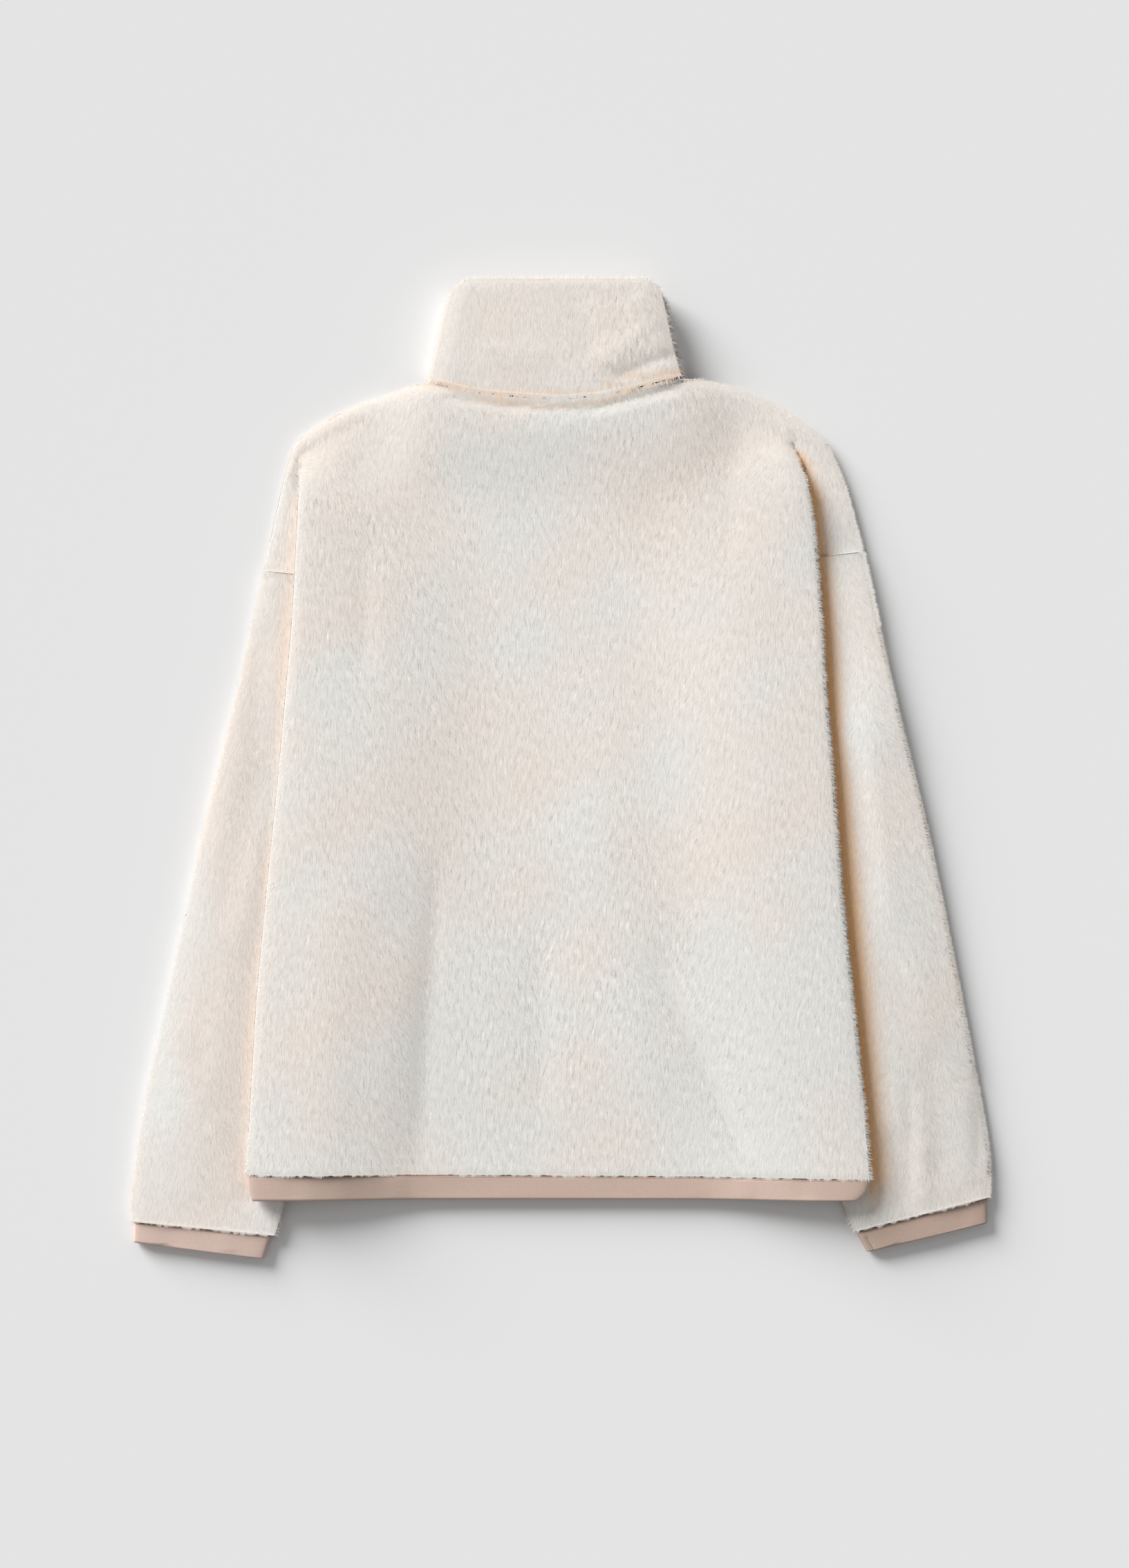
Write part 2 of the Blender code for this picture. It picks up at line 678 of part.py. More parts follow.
def add_zip(tape_material, metal):
    start, end, low, high = TAPE
    for side, sign in (("left", -1), ("right", 1)):
        across = sorted((CENTRE_X + sign * start, CENTRE_X + sign * end))
        add_box(f"zip_tape_{side}", (across[0], ZIP_FOOT - TAPE_BELOW, low), (across[1], TAPE_TOP, high),
                tape_material)
        across = sorted((CENTRE_X + sign * STOP_START, CENTRE_X + sign * (start - SEAM)))
        add_box(f"zip_stop_top_{side}", (across[0], SLIDER_FOOT + SLIDER_LENGTH + SEAM, CHAIN[0]),
                (across[1], TAPE_TOP, CHAIN[1]), metal)
    half = CHAIN_HALF_WIDTH
    foot = ZIP_FOOT + STOP_GAP + STOP_LENGTH
    add_box("zip_chain", (CENTRE_X - half, foot + SEAM, CHAIN[0]),
            (CENTRE_X + half, SLIDER_FOOT - SEAM, CHAIN[1]), tape_material)
    add_box("zip_stop_bottom", (CENTRE_X - half, foot - STOP_LENGTH, CHAIN[0] - STOP_RISE),
            (CENTRE_X + half, foot, CHAIN[1] + STOP_RISE), metal)
    add_slider(metal)
    add_tab(metal)


def make_material(name, colour, roughness, metallic=0.0):
    material = bpy.data.materials.new(name)
    material.use_nodes = True
    shader = material.node_tree.nodes["Principled BSDF"]
    shader.inputs["Base Color"].default_value = (*colour, 1)
    shader.inputs["Roughness"].default_value = roughness
    shader.inputs["Metallic"].default_value = metallic
    return material


def clear_scene():
    for obj in list(bpy.data.objects):
        bpy.data.objects.remove(obj)
    for name in ("half_zip_sweatshirt", "cutters"):
        bpy.context.scene.collection.children.link(bpy.data.collections.new(name))


def main():
    clear_scene()
    fleece = make_material("plush_fleece", FLEECE_CREAM, 0.95)
    knit = make_material("knit_binding", BINDING_PINK, 0.9)
    add_panel("back_panel", 1, fleece)
    add_panel("front_panel", -1, fleece)
    add_collar(fleece)
    for side in SLEEVE:
        rings = resampled(SLEEVE[side], SLEEVE_RINGS)
        add_tube(f"sleeve_{side}", rings, sleeve_heights(side), FLEECE, SLEEVE_COLUMNS, fleece)
        rings = resampled(CUFF[side], CUFF_RINGS)
        add_tube(f"cuff_binding_{side}", rings, cuff_heights, KNIT, SLEEVE_COLUMNS, knit)
    add_tube("hem_binding", HEM, hem_heights, KNIT, HEM_COLUMNS, knit)
    add_zip(make_material("zip_tape", ZIP_PINK, 0.8), make_material("zip_metal", SLIDER_METAL, 0.35, 0.9))


main()
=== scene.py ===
"""Looks of a half-zip plush sweatshirt, laid flat on its front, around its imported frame.

Sizes are in metres unless a name says otherwise. +X is the right of the garment as it is seen
from above, +Y points from hem to collar and +Z up, with the floor at Z = 0.
"""

import math
from collections import namedtuple

import bmesh
import bpy
import numpy as np
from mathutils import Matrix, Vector
from mathutils.bvhtree import BVHTree


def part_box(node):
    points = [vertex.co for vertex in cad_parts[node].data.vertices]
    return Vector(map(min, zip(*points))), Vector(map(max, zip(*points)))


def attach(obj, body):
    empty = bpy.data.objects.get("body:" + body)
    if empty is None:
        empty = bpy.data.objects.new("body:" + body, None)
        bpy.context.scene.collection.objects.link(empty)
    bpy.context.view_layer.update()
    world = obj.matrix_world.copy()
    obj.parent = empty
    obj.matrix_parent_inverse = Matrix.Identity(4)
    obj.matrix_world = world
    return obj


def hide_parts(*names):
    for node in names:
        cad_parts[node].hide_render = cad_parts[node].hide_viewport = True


MM = 0.001
UP = np.array((0.0, 0.0, 1.0))

# Camera: straight above the garment, framed as in the photograph
FRAME_HEIGHT = 1134 * MM
FRAME_CENTRE = (2 * MM, -11 * MM)
LENS_MM = 85
SENSOR_MM = 36
GARMENT_LEVEL = 15 * MM

# Light
FLOOR_GREY = 0.80
FLOOR_HALF = 6.0  # half of its side
FLOOR_DROP = 0.3 * MM
LIGHT_AZIMUTH = 136  # degrees from +X, so the light comes from the upper left
SKY_LIGHT = 0.31  # what the sky sends the floor; the lamps' shares below add to it
Lamp = namedtuple("Lamp", "name elevation size share")
# How high each stands and how wide it looks, in degrees, and the light that it sends the floor
LAMPS = (
    Lamp("key", 22, 34, 0.59),
    Lamp("wide", 50, 110, 0.07),
)

# Fleece pieces, and how each binding looks: one knit, with painted light on the left cuff's and painted
# shade on the right cuff's
FLEECE = ("back_panel", "front_panel", "collar", "sleeve_left", "sleeve_right")
BINDINGS = {"hem_binding": "knit_binding", "cuff_binding_left": "knit_binding_pale",
            "cuff_binding_right": "knit_binding_deep"}

# The knit: a smooth shell on each solid's form
LEVELS = {"back_panel": 2, "front_panel": 2, "hem_binding": 2}  # of smoothing
USUAL_LEVEL = 3
WELD = 0.002 * MM
HARD_EDGE = math.radians(42)
QUAD_SKEW = math.radians(80)  # how far a quad that is put back may be from square
RIM = 1  # material index that marks a shell's cut edges while it is made
PILE = 1.1 * MM  # how far the knit lies inside the outline that the pile fills
PUFF_ABOVE = 6 * MM  # the plush stands fuller than its CAD solids from this height
PUFF = 0.3
FOLD_RISES = (3 * MM, 9 * MM)  # heights where folds start and are full, so undersides stay flat
FOLD_FADE = (-0.12, 0.18)  # where a fold starts and is full, in shares of its length

# Where the pile's hairs stand
OUTSIDE = 100 * MM  # where the rays that find the surface start
WALE = 1.175 * MM  # half of the knit's wales, so that every second row of hairs is a wale
ROW = 2.9 * MM
WALE_JITTER = 0.3  # shares of those two
ROW_JITTER = 0.45
UNDERSIDE_SPACING = 4.4  # times the top's
FACING = 0.5  # how far a face must face up, or down on the underside, to have hairs in wales
EDGE_SLOPES = (-0.1, 0.93)  # the faces of folded edges, by how far they face upward
EDGE_AREA = 1.0 * MM * MM  # for each hair there
EDGE_CLEAR = 3.5 * MM  # what must be free in front of it
EDGE_OUTLOOK = Vector((0, 0, 0.25))  # how far upward that is, beside its own way
MOST_HAIRS = 45000  # in one piece of the top's pile

# How they lie
NAP_SHARES = (0.7, 0.6)  # of the swirls and of the ruffles in the nap's bend
NAP_SPREAD = 0.12  # of single hairs, in radians
DOWNHILL = 1.6  # how far the nap turns down a slope
EDGE_NAP = 0.55  # how far an edge's hair lies along the nap, beside outward
EDGE_STANDING = 0.15
FRINGE_SPREAD = 0.2
SHARES = (1.0, 0.7, 0.45, 0.25)  # of its length that a hair keeps so as to end on fleece
CLIMB = 6 * MM  # the most that a hair's root may lie above or below what its tip covers
SUNK = 0.08 * MM
TIP_LOFT = 0.6  # of the loft at its root
FLOOR_GAP = 0.25 * MM

# A hair's points are the two sides and the top of its root, and its tip
HAIR_FACES = ((0, 1, 2), (0, 2, 3), (2, 1, 3), (1, 0, 3))

# How they vary from hair to hair
LENGTH_RANGE = (0.7, 1.3)
WIDTH_RANGE = (0.8, 1.2)
LOFT_RANGE = (0.5, 1.5)
SHADE_RANGE = (0.96, 1.04)
PAINTED_ROOT_SHADE = np.array((0.95, 0.95, 0.99, 1.02))  # painted shade of its points: darker at the root, paler at the tip, in place of the pile's own shadows
SEAM_UNEVEN = 0.4  # how far the hairs over a seam vary in length from clump to clump
LINE_UNEVEN = 0.06  # and those of an outline
FRINGE_RANGE = (0.3, 1.7)  # the shortest and longest that this may leave them
TOP_SEED = 21
UNDERSIDE_SEED = 51
EDGE_SEED = 81
FRINGE_SEED = 101

# How they are lit
GLOW = 0.6  # how far the pile, which scatters light, is lit as if it faced upward
TURN = 0.5  # how far the knit is lit by its slope
STEEP = 2.0  # how much less where it is steep
GLOW_FACES = (-0.3, 0.2)  # how far up it must face for that to start and to be full
EDGE_TURN = 0.12  # how far the hairs of edges and seams are lit by the way they face
ROUNDNESS = 0.10  # how far a hair is lit by its own form beside the cloth's
CLUMP_TILT = 0.11  # how far clumps of hairs are lit from the side
CLUMP_SHADE = 0.02  # how much paler they are
CLUMP_STRETCH = np.array((1.0, 0.34))

# Colours of the fleece, linear
GREEN_CREAM = np.array((0.795, 0.785, 0.75))
PINK_CREAM = np.array((0.835, 0.757, 0.69))
# Painted shade and light: brown for the shaded gap beside the body's right side and in the grooves, peach
# for warm bounced light beside its left side
PAINTED_GAP_SHADE = np.array((0.93, 0.52, 0.225))
PAINTED_PEACH_LIGHT = np.array((0.93, 0.70, 0.56))
PINK_SHARE = 0.5  # of the pinkish cream, on average
PINK_SPREAD = 0.20

Grain = namedtuple("Grain", "node turn bend length loft clumps")
# Turn of each piece's wales from the garment's length, how far its nap swirls, in degrees,
# the length and loft of its hairs beside the back's, and how far they stand in clumps
GRAINS = (
    Grain("back_panel", 0, 8, 1.0, 1.0, 0.7),
    Grain("front_panel", 0, 8, 1.0, 1.0, 0.7),
    Grain("collar", 0, 18, 1.1, 1.1, 0.3),
    Grain("sleeve_left", -8, 15, 1.1, 1.0, 0.4),
    Grain("sleeve_right", 9, 18, 1.1, 1.1, 0.6),
)

Hair = namedtuple("Hair", "length half_width loft")  # in millimetres
TOP_HAIR = Hair(5.0, 0.50, 0.17)
UNDERSIDE_HAIR = Hair(9.0, 2.3, 0.4)
EDGE_HAIR = Hair(3.2, 0.34, 0.12)
SEAM_HAIR = Hair(1.7, 0.17, 0.15)
DROP_HAIR = Hair(4.6, 0.40, 0.2)
ARMHOLE_HAIR = Hair(4.4, 0.42, 0.3)
NECK_HAIR = Hair(3.6, 0.32, 0.2)
OUTLINE_HAIR = Hair(3.2, 0.36, 0.15)

Tone = namedtuple("Tone", "x y across along pink")
# Broad patches where the cream is pinker or, below nought, greener, in millimetres
TONES = (
    Tone(-171, 206, 60, 90, 0.30),
    Tone(-36, 196, 50, 70, -0.35),
    Tone(94, 176, 60, 80, 0.20),
    Tone(-6, -219, 220, 90, -0.35),
    Tone(-236, -19, 22, 150, 0.45),
    Tone(-256, -194, 25, 60, 0.45),
    Tone(-291, -194, 14, 120, -0.40),
    Tone(-46, 321, 40, 30, 0.40),
    Tone(244, -94, 25, 100, 0.10),
    Tone(-232, -80, 26, 90, 0.35),
    Tone(-240, -210, 18, 100, 0.45),
    Tone(150, -210, 90, 90, -0.45),
    Tone(48, 308, 38, 40, 0.45),
    Tone(-250, -180, 26, 130, 0.35),
)

ShadePatch = namedtuple("ShadePatch", "x y across along loss")
# Broad patches of painted shade, where the plush is darkened as if less lit or, below nought, lightened with
# painted light, in millimetres
PAINTED_SHADE_PATCHES = (
    ShadePatch(30, -250, 240, 170, 0.035),
    ShadePatch(285, -250, 60, 130, 0.10),
    ShadePatch(-36, 206, 60, 60, 0.02),
    ShadePatch(60, 306, 30, 40, 0.03),
    ShadePatch(222, 100, 26, 90, -0.10),
    ShadePatch(100, 210, 60, 70, 0.06),
    ShadePatch(160, -80, 70, 220, 0.03),
    ShadePatch(-238, 60, 24, 100, 0.05),
)

Ruffle = namedtuple("Ruffle", "x y across along clumps")
# Broad patches where the pile stands in deeper clumps, in millimetres
RUFFLES = (
    Ruffle(48, 310, 34, 42, 0.9),
    Ruffle(90, 215, 50, 50, 0.1),
    Ruffle(20, -150, 90, 90, 0.3),
)

Side = namedtuple("Side", "sign colour edge reach low high strength")
# Each side's fold of the body: its line from hem to shoulder in millimetres, and the painted shade
# and warm bounced light beside it on the sleeve: how far it reaches, the heights where it ends, and its
# strength
SIDES = (
    Side(-1, PAINTED_PEACH_LIGHT, ((-228, -293), (-221, -169), (-204, 6), (-190, 205)), (11, 11, 9, 7), 11, 14, 0.35),
    Side(1, PAINTED_GAP_SHADE, ((223, -296), (214, -194), (196, 6), (189, 106), (181, 196), (167, 234)),
         (12, 12, 10, 9, 7.5, 6), 13, 16.5, 1.0),
)
SIDE_START = (-1.5 * MM, 0.5 * MM)  # where the painted shade and warm light begin beside the fold
SIDE_TOP = 12 * MM  # the stretch at the shoulder where it fades out
SIDE_END = (-325 * MM, -288 * MM)  # and the one at the hem

GrooveShade = namedtuple("GrooveShade", "line half_width strength")
# Painted shade: tan lines along the collar seam and the creases below it, where the grooves lie in shade
PAINTED_GROOVE_SHADES = (
    GrooveShade(((-96, 279), (-72, 276.5), (-57, 272.5), (-25, 270.5), (23, 271.5), (34, 278), (50, 284.5),
            (87, 287.5)), 1.1, 0.42),
    GrooveShade(((-60, 267), (-41, 265), (-21, 261.5), (1, 260.7), (17, 264), (33, 265.5), (44, 269.5),
            (63, 276.5), (81, 281.5)), 1.1, 0.40),
    GrooveShade(((38, 273), (60, 280), (84, 284)), 3.6, 0.20),
    GrooveShade(((-100, 279), (-74, 274)), 3.2, 0.22),
)
GROOVE_RISES = (2 * MM, 6 * MM)  # heights where the painted groove shade starts and is full

# Lines of seams, gaps and outlines, in millimetres
HEM_SEAM = ((-226, -293.5), (222, -296.5))
CUFF_SEAM_LEFT = ((-310, -328.5), (-213, -338.6))
CUFF_SEAM_RIGHT = ((214, -336), (308, -311))
CUFF_JOIN = ((220.5, -339), (226.3, -349.8))
NECK_SEAM = ((-96, 281), (-70, 274), (-46, 270.5), (-3, 267.5), (29, 270), (60, 277.5), (88, 285.5))
DROP_SEAM_LEFT = ((-217, 144), (-192, 141.4))
DROP_SEAM_RIGHT = ((184, 153.4), (219, 157.9))
ARMHOLE_LEFT = ((-187, 232), (-189, 221), (-191, 212), (-190.5, 200))
ARMHOLE_RIGHT = ((167, 241), (169.5, 232), (172, 225))
CAP_GAP_LEFT = ((-193, 222), (-195, 212), (-194, 200))
SHOULDER_LEFT = ((-98.8, 282), (-113.3, 276), (-141.3, 266), (-165.8, 256), (-188, 241))
SHOULDER_RIGHT = ((58, 275.4), (76, 280), (84, 281.4), (100, 281.4), (110, 280.2), (130.3, 274.8),
                  (151.8, 265.2), (168, 255.4))
CAP_RIGHT = ((168, 256), (181, 247), (193.3, 236), (205.8, 206), (213, 180), (218.3, 158))
OUTLINE_RIGHT = ((219, 157.5), (241, 56), (266, -44), (286, -144), (305, -244), (311.5, -284),
                 (310, -310.5))

Fringe = namedtuple("Fringe", "name node line flow_x flow_y back pitch standing hair")
# Pile that a piece hangs over a line: which way it lies, how far behind the line its roots are and
# how far apart, in millimetres, and how far it stands up
FRINGES = (
    Fringe("hem_fringe", "back_panel", HEM_SEAM, 0, -1, 1.1, 0.12, 0.1, SEAM_HAIR),
    Fringe("cuff_fringe_left", "sleeve_left", CUFF_SEAM_LEFT, -0.12, -1, 1.1, 0.12, 0.1, SEAM_HAIR),
    Fringe("cuff_fringe_right", "sleeve_right", CUFF_SEAM_RIGHT, 0.25, -1, 1.1, 0.12, 0.1, SEAM_HAIR),
    Fringe("neck_fringe", "collar", NECK_SEAM, 0, -1, 1.2, 0.05, 0.1, NECK_HAIR),
    Fringe("drop_fringe_left", "back_panel", DROP_SEAM_LEFT, 0, -1, 1.0, 0.04, 0.1, DROP_HAIR),
    Fringe("drop_fringe_right", "back_panel", DROP_SEAM_RIGHT, 0, -1, 1.0, 0.04, 0.1, DROP_HAIR),
    Fringe("armhole_fringe_left", "back_panel", ARMHOLE_LEFT, -1, -0.4, 1.4, 0.03, 0.3, ARMHOLE_HAIR),
    Fringe("armhole_fringe_right", "back_panel", ARMHOLE_RIGHT, 1, -0.4, 1.4, 0.05, 0.1, ARMHOLE_HAIR),
    Fringe("cap_fringe_left", "back_panel", CAP_GAP_LEFT, 1, -0.4, 1.0, 0.03, 0.3, ARMHOLE_HAIR),
    Fringe("shoulder_fringe_left", "back_panel", SHOULDER_LEFT, -0.3, 1, 2.2, 0.09, 0.6, OUTLINE_HAIR),
    Fringe("shoulder_fringe_right", "back_panel", SHOULDER_RIGHT, 0.3, 1, 2.2, 0.09, 0.6, OUTLINE_HAIR),
    Fringe("outline_fringe_right", "back_panel", CAP_RIGHT, 1, 0.4, 2.2, 0.09, 0.8, OUTLINE_HAIR),
    Fringe("sleeve_fringe_right", "sleeve_right", OUTLINE_RIGHT, 1, 0.1, 2.2, 0.09, 0.8, OUTLINE_HAIR),
)

Row = namedtuple("Row", "name line below pitch along across turn")
# Rows of thread, in millimetres: the seam's line, how far below it the row runs, its pitch, and
# each stitch's half-sizes and turn from the line in degrees
ROWS = (
    Row("hem_stitches", HEM_SEAM, 1.15, 1.1, 0.45, 0.20, 78),
    Row("cuff_stitches_left", CUFF_SEAM_LEFT, 1.15, 1.1, 0.45, 0.20, 78),
    Row("cuff_stitches_right", CUFF_SEAM_RIGHT, 1.15, 1.1, 0.45, 0.20, 78),
    # Continuous dark rows along the seams: partly the seam's thread, partly painted shade where the fringe
    # shades the seam
    Row("hem_thread", HEM_SEAM, 0.1, 1.3, 0.85, 0.38, 4),
    Row("cuff_thread_left", CUFF_SEAM_LEFT, 0.1, 1.3, 0.85, 0.38, 4),
    Row("cuff_thread_right", CUFF_SEAM_RIGHT, 0.1, 1.3, 0.85, 0.38, 4),
    Row("cuff_join_stitches", CUFF_JOIN, 0.0, 1.2, 0.62, 0.42, 6),
)
SEAM_ALLOWANCE = 0.9 * MM  # below the seam, where the thread's height is found
STITCH_RISE = 0.16 * MM
STITCH_HEIGHT = 0.22 * MM
STITCH_FACES = ((0, 1, 2), (1, 3, 2), (3, 4, 2), (4, 0, 2), (1, 0, 5), (3, 1, 5), (4, 3, 5), (0, 4, 5))

Fold = namedtuple("Fold", "x0 y0 x1 y1 half_width rise")
# Folds by node, in millimetres: ends, half-width, and rise or fall in height
FOLDS = {
    "back_panel": (
        Fold(-92, -70, -106, -292, 9, -2.5),
        Fold(-118, -120, -136, -290, 14, 1.4),
        Fold(68, -132, 112, -228, 8, -2.2),
        Fold(112, -228, 134, -276, 7, -1.8),
        Fold(-16, -120, -14, -244, 10, -1.3),
        Fold(-141, 166, -143, 70, 8, -1.4),
        Fold(126, 250, 121, 156, 7, -0.8),
        Fold(-84, 268, -30, 261, 4, -2.3),
        Fold(-38, 261, 30, 260, 4, -2.5),
        Fold(24, 260, 84, 275, 4, -2.9),
    ),
    "collar": (
        Fold(36, 283, 82, 301, 5, -2.8),
        Fold(20, 290, 60, 314, 7, 1.4),
        Fold(8, 345, 26, 300, 10, -1.5),
        Fold(-60, 300, -10, 296, 9, 1.1),
        Fold(52, 340, 66, 316, 8, 1.3),
    ),
    "sleeve_left": (
        Fold(-222, 60, -266, -300, 26, 4.5),
        Fold(-216, 106, -224, 6, 9, -1.7),
        Fold(-222, 6, -249, -120, 12, -1.8),
        Fold(-249, -120, -262, -220, 12, -1.3),
        Fold(-205, 10, -232, -130, 9, 1.3),
        Fold(-276, -180, -286, -280, 14, 1.3),
        Fold(-232, -318, -222, -280, 10, -1.0),
        Fold(-250, -250, -236, -310, 9, 1.0),
    ),
    "sleeve_right": (
        Fold(218, 60, 264, -290, 26, 4.5),
        Fold(204, 150, 226, 10, 22, 3.0),
        Fold(238, -120, 262, -250, 12, -1.8),
        Fold(222, 20, 238, -110, 9, 1.4),
        Fold(268, -200, 274, -300, 10, -2.1),
        Fold(292, -230, 296, -300, 9, 1.5),
        Fold(251, -225, 254, -300, 5, -1.8),
        Fold(299, -215, 301, -290, 5, -1.8),
        Fold(238, -262, 250, -318, 9, -1.8),
        Fold(258, -270, 262, -316, 7, 1.4),
    ),
    "hem_binding": tuple(Fold(x, -296, x + 3, -311, 5, rise) for x, rise in
                         ((-196, -0.4), (-161, 0.3), (-120, 0.5), (-91, -0.4), (-62, -0.5), (-8, 0.4),
                          (25, -0.4), (66, -0.5), (97, 0.3), (131, 0.5), (172, -0.5))),
    "cuff_binding_left": (Fold(-284, -332, -282, -348, 6, -0.6), Fold(-246, -336, -243, -351, 7, 0.5)),
    "cuff_binding_right": (Fold(220.3, -338.5, 226.3, -350.5, 1.1, -1.0), Fold(262, -324, 266, -342, 7, 0.5),
                           Fold(288, -318, 290, -334, 6, -0.5)),
}

Cut = namedtuple("Cut", "node width length area rests_on")

# Zip
TAPES = ("zip_tape_left", "zip_tape_right")
METAL_PARTS = ("zip_slider", "zip_tab", "zip_stop_bottom", "zip_stop_top_left", "zip_stop_top_right")
METAL_BEVEL = 0.3 * MM
METAL_BEVEL_STEPS = 2
COIL_PITCH = 1.2 * MM
COIL_BEAD = (1.75 * MM, 0.5 * MM, 0.95 * MM)  # half-sizes
COIL_SHIFT = 0.95 * MM  # each side's beads from the middle

# Stretches of a finish's grain
EVEN = (1.0, 1.0, 1.0)
RIB = (1.0, 2.4, 1.0)
WARP = (1.0, 0.25, 1.0)
BRUSHED = (0.15, 2.5, 1.0)
GRAIN_DETAIL = 3.0
GRAIN_TONES = (0.28, 0.72)  # how strong the grain is where it's darkest and palest

Look = namedtuple("Look", "scale stretch dark light bump depth roughness sheen metallic")
# Procedural finishes: the grain's scale per metre and its stretch, its two colours, how strong its
# bump is and how deep in millimetres, and the surface
LOOKS = {
    "knit_binding": Look(1300, RIB, (0.50, 0.365, 0.30), (0.63, 0.485, 0.41), 0.4, 0.2, 0.85, 0.1, 0),
    # The same knit again, with painted light for the left cuff and painted shade for the right
    "knit_binding_pale": Look(1300, RIB, (0.56, 0.41, 0.345), (0.70, 0.54, 0.47), 0.4, 0.2, 0.85, 0.1, 0),
    "knit_binding_deep": Look(1300, RIB, (0.43, 0.305, 0.245), (0.54, 0.41, 0.34), 0.4, 0.2, 0.85, 0.1, 0),
    "woven_tape": Look(1500, WARP, (0.50, 0.37, 0.31), (0.63, 0.49, 0.42), 0.5, 0.15, 0.8, 0.1, 0),
    "seam_thread": Look(2400, EVEN, (0.30, 0.17, 0.12), (0.46, 0.29, 0.22), 0.3, 0.1, 0.7, 0.0, 0),
    "nylon_teeth": Look(900, EVEN, (0.58, 0.45, 0.38), (0.66, 0.52, 0.45), 0.1, 0.05, 0.45, 0.0, 0),
    "satin_steel": Look(700, BRUSHED, (0.66, 0.65, 0.63), (0.78, 0.77, 0.75), 0.1, 0.02, 0.32, 0.0, 1),
}
FIBRE_SCALE = 900.0  # of the fleece's grain, per metre
FIBRE_STRETCH = (1.0, 0.2, 1.0)
FIBRE_BUMP = 0.3
FIBRE_DEPTH = 0.4 * MM
FIBRE_SHADES = {"From Min": 0.3, "From Max": 0.7, "To Min": 0.93, "To Max": 1.05}
PLUSH = {"Sheen Weight": 0.18, "Sheen Roughness": 0.5, "Sheen Tint": (1.0, 0.96, 0.9, 1),
         "Specular IOR Level": 0.2}


def waves(seed, count, shortest, longest):
    """Smooth random heights over the plane, of unit spread, as a sum of sines."""
    draw = np.random.default_rng(seed)
    angle = draw.uniform(0, 2 * math.pi, count)
    size = 2 * math.pi / draw.uniform(shortest, longest, count)
    phase = draw.uniform(0, 2 * math.pi, count)
    steps = np.stack((np.cos(angle) * size, np.sin(angle) * size))
    return lambda places: np.sin(places @ steps + phase).sum(axis=1) / math.sqrt(count / 2)


# Each with its own seed
CREAM_PATCHES = waves(5, 16, 60 * MM, 220 * MM)
NAP_SWIRL = waves(11, 14, 25 * MM, 90 * MM)
NAP_RUFFLE = waves(12, 14, 7 * MM, 22 * MM)
CLUMPS = waves(14, 30, 1.5 * MM, 5.5 * MM)
FRINGE_CLUMPS = waves(13, 12, 3 * MM, 16 * MM)


def smooth(value, start, end):
    share = np.clip((value - start) / (end - start), 0, 1)
    return share * share * (3 - 2 * share)


def unit(vectors):
    return vectors / np.maximum(np.linalg.norm(vectors, axis=-1, keepdims=True), 1e-9)


def off_stretch(start, end, places):
    """Each place's distance from the stretch, and how far along it lies, from 0 to 1 within."""
    start, run = np.array(start) * MM, (np.array(end) - np.array(start)) * MM
    share = (places - start) @ run / (run @ run)
    beside = places - start - np.clip(share, 0, 1)[:, None] * run
    return np.linalg.norm(beside, axis=1), share


def off_line(line, places):
    """Each place's distance from a line of several stretches."""
    return np.min([off_stretch(start, end, places)[0] for start, end in zip(line, line[1:])], axis=0)


def fold_heights(folds, places):
    """Height that the folds add at these places, an array of x and y."""
    heights = np.zeros(len(places))
    for fold in folds:
        off, share = off_stretch((fold.x0, fold.y0), (fold.x1, fold.y1), places)
        ends = smooth(share, *FOLD_FADE) * smooth(1 - share, *FOLD_FADE)
        heights += fold.rise * MM * ends * np.exp(-(off / (fold.half_width * MM)) ** 2)
    return heights


def painted_gap_light(side, points):
    """How far the painted shade and warm bounced light between the body's side and the sleeve below it have
    taken over the colour.
    """
    edge = np.array(side.edge) * MM
    off = (points[:, 0] - np.interp(points[:, 1], edge[:, 1], edge[:, 0])) * side.sign
    reach = np.interp(points[:, 1], edge[:, 1], side.reach) * MM
    outside = np.exp(-(np.clip(off, 0, None) / reach) ** 2) * smooth(off, *SIDE_START)
    under = 1 - smooth(points[:, 2], side.low * MM, side.high * MM)
    along = smooth(points[:, 1], edge[-1, 1], edge[-1, 1] - SIDE_TOP) * smooth(points[:, 1], *SIDE_END)
    return side.strength * outside * under * along


def patch_share(patch, places):
    """How far these places are in a broad patch, from 1 at its middle to 0."""
    off = (places - np.array((patch.x, patch.y)) * MM) / (np.array((patch.across, patch.along)) * MM)
    return np.exp(-(off ** 2).sum(axis=1))


def fleece_colours(points):
    """Colour of the fleece at these points: two creams, with painted shade and light: broad patches, tan in
    the grooves, and shade and warm bounced light beside the body's sides.
    """
    places = points[:, :2]
    pink = PINK_SHARE + PINK_SPREAD * CREAM_PATCHES(places)
    for tone in TONES:
        pink += tone.pink * patch_share(tone, places)
    pink = np.clip(pink, 0, 1)[:, None]
    colours = GREEN_CREAM * (1 - pink) + PINK_CREAM * pink
    # Painted shade and painted light in broad patches
    for shade_patch in PAINTED_SHADE_PATCHES:
        colours *= 1 - shade_patch.loss * patch_share(shade_patch, places)[:, None]
    above = smooth(points[:, 2], *GROOVE_RISES)
    # Painted shade in the grooves
    for groove in PAINTED_GROOVE_SHADES:
        off = off_line(groove.line, places) / (groove.half_width * MM)
        warm = (groove.strength * above * np.exp(-off ** 2))[:, None]
        colours = colours * (1 - warm) + PAINTED_GAP_SHADE * warm
    # Painted shade and warm bounced light beside the body's sides
    for side in SIDES:
        warm = painted_gap_light(side, points)[:, None]
        colours = colours * (1 - warm) + side.colour * warm
    return colours


